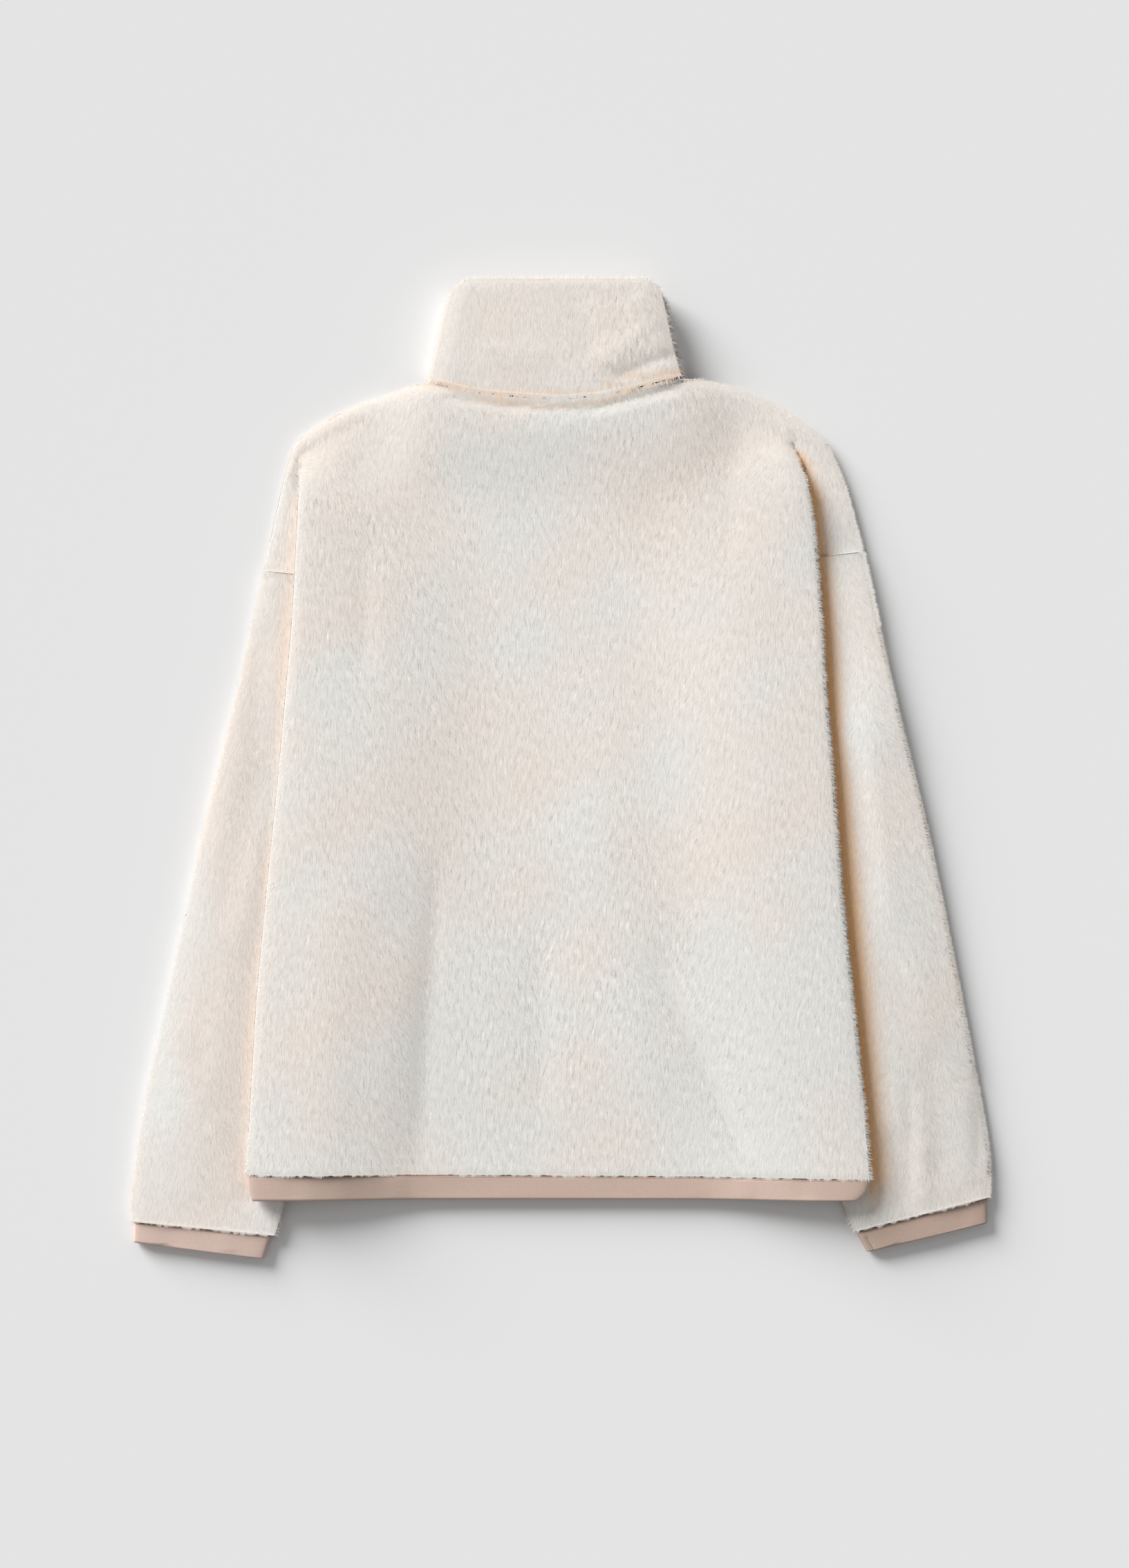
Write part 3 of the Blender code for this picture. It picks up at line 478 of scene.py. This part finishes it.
def new_object(name, mesh, materials=()):
    piece = bpy.data.objects.new(name, mesh)
    bpy.context.scene.collection.objects.link(piece)
    mesh.materials.clear()
    for material in materials:
        mesh.materials.append(material)
    return piece


def take_rim(mesh):
    """The points of the cut edges between a shell's two sides, whose mark is taken off."""
    found = set()
    for face in mesh.polygons:
        if face.material_index == RIM:
            found.update(face.vertices)
        face.material_index = 0
    return sorted(found)


def square_up(mesh):
    """Puts a CAD mesh's quads back, creases its hard edges and marks the faces between two."""
    shell = bmesh.new()
    shell.from_mesh(mesh)
    bmesh.ops.remove_doubles(shell, verts=shell.verts, dist=WELD)
    bmesh.ops.join_triangles(shell, faces=shell.faces, angle_face_threshold=HARD_EDGE,
                             angle_shape_threshold=QUAD_SKEW)
    crease = shell.edges.layers.float.new("crease_edge")
    for edge in shell.edges:
        if len(edge.link_faces) == 2 and edge.calc_face_angle() > HARD_EDGE:
            edge[crease] = 1
    for face in shell.faces:
        face.material_index = int(sum(edge[crease] == 1 for edge in face.edges) >= 2) * RIM
    shell.to_mesh(mesh)
    shell.free()


def subdivided(mesh, levels):
    """A new mesh of this one's form, with its facets smoothed away."""
    draft = bpy.data.objects.new("draft", mesh)
    bpy.context.scene.collection.objects.link(draft)
    smoother = draft.modifiers.new("smooth", "SUBSURF")
    smoother.levels = smoother.render_levels = levels
    bpy.context.view_layer.update()
    graph = bpy.context.evaluated_depsgraph_get()
    made = bpy.data.meshes.new_from_object(draft.evaluated_get(graph))
    bpy.data.objects.remove(draft)
    made.polygons.foreach_set("use_smooth", [True] * len(made.polygons))
    return made


def smooth_shell(name):
    """A new smooth mesh on a CAD node's form, and the points of its cut edges."""
    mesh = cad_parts[name].data.copy()
    square_up(mesh)
    made = subdivided(mesh, LEVELS.get(name, USUAL_LEVEL))
    bpy.data.meshes.remove(mesh)
    return made, take_rim(made)


def points_of(mesh):
    points = np.empty(len(mesh.vertices) * 3, np.float32)
    mesh.vertices.foreach_get("co", points)
    return points.reshape(-1, 3).astype(float)


def normals_of(mesh):
    normals = np.empty(len(mesh.vertices) * 3, np.float32)
    mesh.vertices.foreach_get("normal", normals)
    return normals.reshape(-1, 3).astype(float)


def soft_normals(normals):
    """What the fleece is lit by: less steep than it is, because its pile scatters light."""
    level = normals * (1, 1, 0)
    share = TURN / (1 + STEEP * (level ** 2).sum(axis=1, keepdims=True))
    return level * share + (normals[:, 2:] + GLOW) * UP


def put_points(mesh, points):
    mesh.vertices.foreach_set("co", points.astype(np.float32).ravel())
    mesh.update()


def put_colours(mesh, colours):
    # The fleece's own colour with its painted shade and painted light
    layer = mesh.color_attributes.new("tint", "FLOAT_COLOR", "POINT")
    rows = np.concatenate((colours, np.ones((len(colours), 1))), axis=1)
    layer.data.foreach_set("color", rows.astype(np.float32).ravel())


def put_shading(mesh, normals):
    mesh.normals_split_custom_set_from_vertices(unit(normals).reshape(-1, 3).tolist())


def mesh_of(name, points, faces):
    """A mesh of many like solids: points by solid, and the triangles of one."""
    count, each = points.shape[:2]
    mesh = bpy.data.meshes.new(name)
    mesh.vertices.add(count * each)
    mesh.vertices.foreach_set("co", points.astype(np.float32).ravel())
    loops = (np.arange(count)[:, None] * each + np.array(faces).ravel()).ravel()
    mesh.loops.add(len(loops))
    mesh.loops.foreach_set("vertex_index", loops)
    mesh.polygons.add(len(loops) // 3)
    mesh.polygons.foreach_set("loop_start", np.arange(0, len(loops), 3))
    mesh.update(calc_edges=True)
    mesh.polygons.foreach_set("use_smooth", [True] * len(mesh.polygons))
    return mesh


def nodes_for(material):
    material.use_nodes = True
    tree = material.node_tree
    tree.nodes.clear()
    return tree


def node(tree, kind, **settings):
    made = tree.nodes.new(kind)
    for name, value in settings.items():
        if name in made.inputs:
            made.inputs[name].default_value = value
        else:
            setattr(made, name, value)
    return made


def set_inputs(made, values):
    for name, value in values.items():
        made.inputs[name].default_value = value


def grain_of(tree, scale, stretch):
    """Noise over the piece's own coordinates, stretched."""
    place = node(tree, "ShaderNodeTexCoord")
    stretched = node(tree, "ShaderNodeMapping", Scale=stretch)
    grain = node(tree, "ShaderNodeTexNoise", Scale=scale, Detail=GRAIN_DETAIL, Roughness=0.6)
    tree.links.new(place.outputs["Object"], stretched.inputs["Vector"])
    tree.links.new(stretched.outputs["Vector"], grain.inputs["Vector"])
    return grain


def finish_material(tree, grain, colour, shader, strength, depth):
    """Links a shader to its colour and to a bump of its grain, and to the output."""
    bump = node(tree, "ShaderNodeBump", Strength=strength, Distance=depth)
    output = node(tree, "ShaderNodeOutputMaterial")
    tree.links.new(colour, shader.inputs["Base Color"])
    tree.links.new(grain.outputs["Fac"], bump.inputs["Height"])
    tree.links.new(bump.outputs["Normal"], shader.inputs["Normal"])
    tree.links.new(shader.outputs["BSDF"], output.inputs["Surface"])


def fleece_material(name):
    material = bpy.data.materials.new(name)
    tree = nodes_for(material)
    tint = node(tree, "ShaderNodeVertexColor", layer_name="tint")
    fibre = grain_of(tree, FIBRE_SCALE, FIBRE_STRETCH)
    shade = node(tree, "ShaderNodeMapRange")
    set_inputs(shade, FIBRE_SHADES)
    tinted = node(tree, "ShaderNodeVectorMath", operation="SCALE")
    shader = node(tree, "ShaderNodeBsdfPrincipled", Roughness=0.92)
    set_inputs(shader, PLUSH)
    tree.links.new(fibre.outputs["Fac"], shade.inputs["Value"])
    tree.links.new(tint.outputs["Color"], tinted.inputs[0])
    tree.links.new(shade.outputs["Result"], tinted.inputs["Scale"])
    finish_material(tree, fibre, tinted.outputs["Vector"], shader, FIBRE_BUMP, FIBRE_DEPTH)
    return material


def plain_material(name):
    look = LOOKS[name]
    material = bpy.data.materials.new(name)
    tree = nodes_for(material)
    grain = grain_of(tree, look.scale, look.stretch)
    ramp = node(tree, "ShaderNodeValToRGB")
    for end, position, colour in zip(ramp.color_ramp.elements, GRAIN_TONES, (look.dark, look.light)):
        end.position = position
        end.color = (*colour, 1)
    shader = node(tree, "ShaderNodeBsdfPrincipled", Roughness=look.roughness, Metallic=look.metallic)
    set_inputs(shader, {"Sheen Weight": look.sheen, "Specular IOR Level": 0.3})
    tree.links.new(grain.outputs["Fac"], ramp.inputs["Fac"])
    finish_material(tree, grain, ramp.outputs["Color"], shader, look.bump, look.depth * MM)
    return material


def show(name, mesh, material, stands_for=None):
    piece = new_object(name, mesh, [material])
    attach(piece, "garment")
    if stands_for:
        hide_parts(stands_for)
    return piece


def stand_full(name, points):
    """Puffs out the upper side of a piece and lays its folds in it."""
    points[:, 2] += PUFF * np.clip(points[:, 2] - PUFF_ABOVE, 0, None)
    points[:, 2] += fold_heights(FOLDS.get(name, ()), points[:, :2]) * smooth(points[:, 2], *FOLD_RISES)


def make_fleece(name, material):
    """A fleece piece's knit: its solid's form, inside the pile, puffed out and folded."""
    mesh, rim = smooth_shell(name)
    points = points_of(mesh)
    inset = normals_of(mesh) * PILE
    inset[rim, :2] = 0
    points -= inset
    stand_full(name, points)
    put_points(mesh, points)
    put_colours(mesh, fleece_colours(points))
    normals = normals_of(mesh)
    facing = smooth(normals[:, 2], *GLOW_FACES)[:, None]
    put_shading(mesh, normals * (1 - facing) + soft_normals(normals) * facing)
    return show(name + "_cloth", mesh, material, name)


def make_binding(name, material):
    mesh, _ = smooth_shell(name)
    points = points_of(mesh)
    stand_full(name, points)
    put_points(mesh, points)
    return show(name + "_cloth", mesh, material, name)


def tree_of(pieces):
    """One search tree of the pieces' faces, and the number of faces before each piece's."""
    points, faces, firsts = [], [], [0]
    for piece in pieces:
        mesh = piece.data
        offset = len(points)
        points += [tuple(vertex.co) for vertex in mesh.vertices]
        faces += [[offset + corner for corner in face.vertices] for face in mesh.polygons]
        firsts.append(len(faces))
    return BVHTree.FromPolygons(points, faces), firsts


def faces_of(name):
    """The range of a fleece piece's faces in the search tree."""
    index = FLEECE.index(name)
    return starts[index], starts[index + 1]


def look_at(tree, x, y, down):
    """What a ray down, or up from below, meets first at x, y."""
    side = 1 if down else -1
    return tree.ray_cast((x, y, side * OUTSIDE), (0, 0, -side))


def grid_roots(tree, faces, box, turn, spacing, down, draw):
    """Roots of hairs in wales across a box, where the ray from outside meets faces in this range."""
    low, high = box
    centre = (low + high) / 2
    reach = np.linalg.norm((high - low)[:2]) / 2
    cos, sin = math.cos(math.radians(turn)), math.sin(math.radians(turn))
    pitch, row = WALE * spacing, ROW * spacing
    side = 1 if down else -1
    places, normals = [], []
    for i in range(-int(reach / pitch), int(reach / pitch) + 1):
        steps = np.arange(-int(reach / row), int(reach / row) + 1)
        across = (i + draw.uniform(-WALE_JITTER, WALE_JITTER, len(steps))) * pitch
        length = (steps + 0.5 * (i % 2) + draw.uniform(-ROW_JITTER, ROW_JITTER, len(steps))) * row
        x = centre[0] + across * cos - length * sin
        y = centre[1] + across * sin + length * cos
        inside = (x > low[0]) & (x < high[0]) & (y > low[1]) & (y < high[1])
        for place in np.stack((x, y), axis=1)[inside].tolist():
            hit, normal, index, _ = look_at(tree, *place, down)
            if hit is not None and faces[0] <= index < faces[1] and normal.z * side > FACING:
                places.append(hit)
                normals.append(normal)
    return np.array(places).reshape(-1, 3), np.array(normals).reshape(-1, 3)


def edge_roots(mesh, tree, draw):
    """Roots of the short pile on folded edges, where nothing lies right beside them."""
    places, normals = [], []
    for face in mesh.polygons:
        if not EDGE_SLOPES[0] < face.normal.z < EDGE_SLOPES[1]:
            continue
        corners = [mesh.vertices[index].co for index in face.vertices]
        for _ in range(draw.poisson(face.area / EDGE_AREA)):
            u, v = draw.random(2)
            near = corners[0].lerp(corners[1], u)
            far = corners[-1].lerp(corners[2], u)
            place = near.lerp(far, v)
            out = (face.normal + EDGE_OUTLOOK).normalized()
            if tree.ray_cast(place + face.normal * PILE, out, EDGE_CLEAR)[0] is None:
                places.append(place)
                normals.append(face.normal)
    return np.array(places).reshape(-1, 3), np.array(normals).reshape(-1, 3)


def line_roots(line, pitch, tree, faces, draw=None):
    """Places along a line where faces in this range lie on top, evenly or at random, their
    normals, and the line's direction at each."""
    places, normals, runs = [], [], []
    line = [Vector(point) * MM for point in line]
    for start, end in zip(line, line[1:]):
        count = int((end - start).length / (pitch * MM))
        for step in range(count):
            share = (step + (draw.random() if draw else 0.5)) / count
            hit, normal, index, _ = look_at(tree, *start.lerp(end, share), True)
            if hit is not None and faces[0] <= index < faces[1]:
                places.append(hit)
                normals.append(normal)
                runs.append((*(end - start).normalized(), 0))
    return np.array(places), np.array(normals), np.array(runs)


def nap(grain, roots, draw):
    """Which way the pile lies at each root, along the ground."""
    places = roots[:, :2]
    swirl, ruffle = NAP_SHARES
    bend = grain.bend * (swirl * NAP_SWIRL(places) + ruffle * NAP_RUFFLE(places))
    angle = np.radians(grain.turn - 90 + bend) + draw.normal(0, NAP_SPREAD, len(roots))
    return np.stack((np.cos(angle), np.sin(angle), np.zeros(len(roots))), axis=1)


def lay(flow, normals, standing=0):
    """Directions of hairs that flow along the surface, and stand up from it by a share."""
    along = unit(flow - normals * (flow * normals).sum(axis=1)[:, None])
    return unit(along + normals * standing)


def kept_shares(tree, roots, tips, down):
    """The share of its length that each hair keeps so that it ends on fleece of about its height."""
    kept = np.zeros(len(roots))
    for number, (root, tip) in enumerate(zip(roots.tolist(), tips.tolist())):
        for share in SHARES:
            x = root[0] + (tip[0] - root[0]) * share
            y = root[1] + (tip[1] - root[1]) * share
            hit, _, index, _ = look_at(tree, x, y, down)
            if hit is not None and index < starts[len(FLEECE)] and abs(hit.z - root[2]) < CLIMB:
                kept[number] = share
                break
    return kept


def hair_mesh(name, roots, normals, leans, sizes, lit):
    """Closed three-sided hairs, each from its root along its lean, lit mostly by these normals."""
    length, half, loft = (size[:, None] for size in sizes)
    across = unit(np.cross(leans, normals))
    sunk = roots - normals * SUNK
    points = np.stack((sunk - across * half, sunk + across * half, roots + normals * loft,
                       roots + leans * length + normals * loft * TIP_LOFT), axis=1)
    points[:, :, 2] = np.maximum(points[:, :, 2], FLOOR_GAP)
    mesh = mesh_of(name, points, HAIR_FACES)
    own = np.stack((-across, across, normals, leans), axis=1)
    put_shading(mesh, unit(lit)[:, None] + ROUNDNESS * own)
    return mesh


def add_pile(name, roots, normals, leans, hair, lit, draw, material, shares, clumps=None):
    """A piece of pile from its roots: hairs of this size that keep these shares of their length,
    each clump paler or darker."""
    kept = shares > 0
    roots, normals, leans, lit, shares = (rows[kept] for rows in (roots, normals, leans, lit, shares))
    count = len(roots)
    sizes = (hair.length * MM * draw.uniform(*LENGTH_RANGE, count) * shares,
             hair.half_width * MM * draw.uniform(*WIDTH_RANGE, count),
             hair.loft * MM * draw.uniform(*LOFT_RANGE, count))
    mesh = hair_mesh(name, roots, normals, leans, sizes, lit)
    # Painted shade: each hair darker at its root than at its tip
    shades = draw.uniform(*SHADE_RANGE, count)[:, None] * PAINTED_ROOT_SHADE
    if clumps is not None:
        shades *= 1 + CLUMP_SHADE * clumps[kept]
    put_colours(mesh, fleece_colours(points_of(mesh)) * shades.reshape(-1, 1))
    pile = show(name, mesh, material)
    pile.visible_shadow = False
    return pile


def make_top_pile(grain, box, tree, faces, material):
    """The pile that shows from above, in clumps, as one piece or more; none on a hidden piece."""
    draw = np.random.default_rng(TOP_SEED + len(grain.node))
    roots, normals = grid_roots(tree, faces, box, grain.turn, 1, True, draw)
    flow = nap(grain, roots, draw)
    depth = grain.clumps + sum(ruffle.clumps * patch_share(ruffle, roots[:, :2]) for ruffle in RUFFLES)
    clumps = (depth * CLUMPS(roots[:, :2] * CLUMP_STRETCH))[:, None]
    lit = soft_normals(normals) + CLUMP_TILT * clumps * np.cross(flow, UP)
    flow[:, :2] += DOWNHILL * normals[:, :2]
    hair = Hair(TOP_HAIR.length * grain.length, TOP_HAIR.half_width, TOP_HAIR.loft * grain.loft)
    leans = lay(flow, normals)
    shares = kept_shares(tree, roots, roots + leans * hair.length * MM, True)
    if not shares.any():
        return []
    parts = math.ceil(len(roots) / MOST_HAIRS)
    made = []
    for part in range(parts):
        mine = np.arange(len(roots)) * parts // len(roots) == part
        name = f"{grain.node}_pile" + (f"_{part + 1}" if parts > 1 else "")
        made.append(add_pile(name, roots[mine], normals[mine], leans[mine], hair, lit[mine], draw,
                             material, shares[mine], clumps[mine]))
    return made


def make_underside_pile(grain, box, tree, faces, material):
    """Sparse pile below, if any of the piece shows from there."""
    draw = np.random.default_rng(UNDERSIDE_SEED + len(grain.node))
    roots, normals = grid_roots(tree, faces, box, grain.turn, UNDERSIDE_SPACING, False, draw)
    leans = lay(nap(grain, roots, draw), normals)
    shares = kept_shares(tree, roots, roots + leans * UNDERSIDE_HAIR.length * MM, False)
    if not shares.any():
        return []
    name = f"{grain.node}_underside_pile"
    return [add_pile(name, roots, normals, leans, UNDERSIDE_HAIR, normals, draw, material, shares)]


def make_edge_pile(grain, mesh, tree, material):
    draw = np.random.default_rng(EDGE_SEED + len(grain.node))
    roots, normals = edge_roots(mesh, tree, draw)
    level = normals * (1, 1, 0)
    leans = unit(unit(level) + EDGE_NAP * nap(grain, roots, draw) + EDGE_STANDING * normals)
    return add_pile(f"{grain.node}_edge_pile", roots, normals, leans, EDGE_HAIR, UP + EDGE_TURN * level,
                    draw, material, np.ones(len(roots)))


def make_piles(grain, piece, tree, material):
    """All the pile of a fleece piece, apart from fringes; the back's underside is hidden."""
    faces = faces_of(grain.node)
    corners = points_of(piece.data)
    box = corners.min(axis=0), corners.max(axis=0)
    piles = make_top_pile(grain, box, tree, faces, material)
    if grain.node != "back_panel":
        piles += make_underside_pile(grain, box, tree, faces, material)
    return [*piles, make_edge_pile(grain, piece.data, tree, material)]


def make_fringe(fringe, tree, material):
    """Pile that hangs over a seam, a gap or an outline from the piece beside it."""
    draw = np.random.default_rng(FRINGE_SEED + len(fringe.name))
    way = np.array((fringe.flow_x, fringe.flow_y, 0.0))
    line = np.array(fringe.line) - way[:2] * fringe.back
    roots, normals, _ = line_roots(line, fringe.pitch, tree, faces_of(fringe.node), draw)
    flow = way + draw.normal(0, FRINGE_SPREAD, (len(roots), 3)) * (1, 1, 0)
    uneven = LINE_UNEVEN if fringe.hair is OUTLINE_HAIR else SEAM_UNEVEN
    shares = np.clip(1 + uneven * FRINGE_CLUMPS(roots[:, :2]), *FRINGE_RANGE)
    leans = lay(flow, normals, fringe.standing)
    return add_pile(fringe.name, roots, normals, leans, fringe.hair, UP + EDGE_TURN * normals, draw,
                    material, shares)


def make_stitches(row, tree, material):
    """A row of thread on a binding: stretched eight-faced beads, evenly spaced."""
    (x0, y0), (x1, y1) = row.line
    run = unit(np.array((x1 - x0, y1 - y0)))
    down = np.array((run[1], -run[0]))
    line = np.array(row.line) + down * SEAM_ALLOWANCE / MM
    places, normals, runs = line_roots(line, row.pitch, tree, (0, starts[-1]))
    places[:, :2] += down * (row.below * MM - SEAM_ALLOWANCE)
    turn = math.radians(row.turn)
    sides = np.cross(normals, runs)
    along = unit(runs * math.cos(turn) + sides * math.sin(turn))
    across = unit(np.cross(normals, along))
    centres = places + normals * STITCH_RISE
    ends = [centres + way * size for way, size in ((along, row.along * MM), (across, row.across * MM),
                                                   (normals, STITCH_HEIGHT))]
    points = np.stack([*ends, *(2 * centres - end for end in ends)], axis=1)
    return show(row.name, mesh_of(row.name, points, STITCH_FACES), material)


def make_tape(name, material):
    mesh, _ = smooth_shell(name)
    return show(name + "_cloth", mesh, material, name)


def make_coil(material):
    """The zip's coil: rounded beads from each tape in turn, over the chain's length."""
    low, high = (np.array(corner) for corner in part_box("zip_chain"))
    ball = bmesh.new()
    bmesh.ops.create_icosphere(ball, subdivisions=2, radius=1)
    shape = np.array([vertex.co for vertex in ball.verts]) * COIL_BEAD
    faces = [[vertex.index for vertex in face.verts] for face in ball.faces]
    ball.free()
    count = int((high[1] - low[1]) / COIL_PITCH)
    steps = np.arange(2 * count)
    middle = (low + high) / 2
    centres = np.stack((middle[0] + COIL_SHIFT * (2 * (steps % 2) - 1),
                        low[1] + (steps + 1) * COIL_PITCH / 2, np.full(2 * count, middle[2])), axis=1)
    mesh = mesh_of("zip_coil", centres[:, None] + shape, faces)
    return show("zip_coil", mesh, material, "zip_chain")


def finish_metal(name, material):
    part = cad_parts[name]
    part.data.materials.clear()
    part.data.materials.append(material)
    bevel = part.modifiers.new("bevel", "BEVEL")
    bevel.width = METAL_BEVEL
    bevel.segments = METAL_BEVEL_STEPS


def make_floor():
    mesh = bpy.data.meshes.new("floor")
    corners = ((-1, -1), (1, -1), (1, 1), (-1, 1))
    mesh.from_pydata([(x * FLOOR_HALF, y * FLOOR_HALF, -FLOOR_DROP) for x, y in corners], [], [(0, 1, 2, 3)])
    material = bpy.data.materials.new("pale_floor")
    tree = nodes_for(material)
    shader = node(tree, "ShaderNodeBsdfPrincipled", Roughness=1.0)
    set_inputs(shader, {"Base Color": (FLOOR_GREY, FLOOR_GREY, FLOOR_GREY, 1), "Specular IOR Level": 0.0})
    output = node(tree, "ShaderNodeOutputMaterial")
    tree.links.new(shader.outputs["BSDF"], output.inputs["Surface"])
    new_object("floor", mesh, [material])


def make_light():
    azimuth = math.radians(LIGHT_AZIMUTH)
    for lamp in LAMPS:
        elevation = math.radians(lamp.elevation)
        sun = bpy.data.lights.new(lamp.name, "SUN")
        sun.energy = lamp.share * math.pi / math.sin(elevation)
        sun.angle = math.radians(lamp.size)
        towards = Vector((math.cos(azimuth) * math.cos(elevation),
                          math.sin(azimuth) * math.cos(elevation), math.sin(elevation)))
        holder = bpy.data.objects.new(lamp.name, sun)
        holder.rotation_euler = towards.to_track_quat("Z", "Y").to_euler()
        bpy.context.scene.collection.objects.link(holder)
    world = bpy.data.worlds.new("studio")
    world.use_nodes = True
    set_inputs(world.node_tree.nodes["Background"], {"Color": (1, 1, 1, 1), "Strength": SKY_LIGHT})
    bpy.context.scene.world = world
    bpy.context.scene.view_settings.view_transform = "Standard"


def make_camera():
    lens = bpy.data.cameras.new("camera")
    lens.lens = LENS_MM
    lens.sensor_width = SENSOR_MM
    camera = bpy.data.objects.new("camera", lens)
    bpy.context.scene.collection.objects.link(camera)
    distance = FRAME_HEIGHT * LENS_MM / SENSOR_MM
    camera.location = (*FRAME_CENTRE, GARMENT_LEVEL + distance)
    bpy.context.scene.camera = camera


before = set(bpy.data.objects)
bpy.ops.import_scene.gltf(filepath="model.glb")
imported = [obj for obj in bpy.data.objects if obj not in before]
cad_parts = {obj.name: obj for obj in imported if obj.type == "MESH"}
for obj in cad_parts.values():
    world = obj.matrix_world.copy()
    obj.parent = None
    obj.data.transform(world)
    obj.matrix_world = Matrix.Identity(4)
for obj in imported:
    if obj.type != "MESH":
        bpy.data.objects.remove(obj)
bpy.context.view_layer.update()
make_camera()
make_light()
make_floor()
cream = fleece_material("plush_fleece")
finishes = {name: plain_material(name) for name in LOOKS}
cloth = {name: make_fleece(name, cream) for name in FLEECE}
cloth.update({name: make_binding(name, finishes[look]) for name, look in BINDINGS.items()})
search, starts = tree_of(cloth.values())
piles = {grain.node: make_piles(grain, cloth[grain.node], search, cream) for grain in GRAINS}
for fringe in FRINGES:
    make_fringe(fringe, search, cream)
for row in ROWS:
    make_stitches(row, search, finishes["seam_thread"])
cloth.update({name: make_tape(name, finishes["woven_tape"]) for name in TAPES})
make_coil(finishes["nylon_teeth"])
for name in METAL_PARTS:
    finish_metal(name, finishes["satin_steel"])
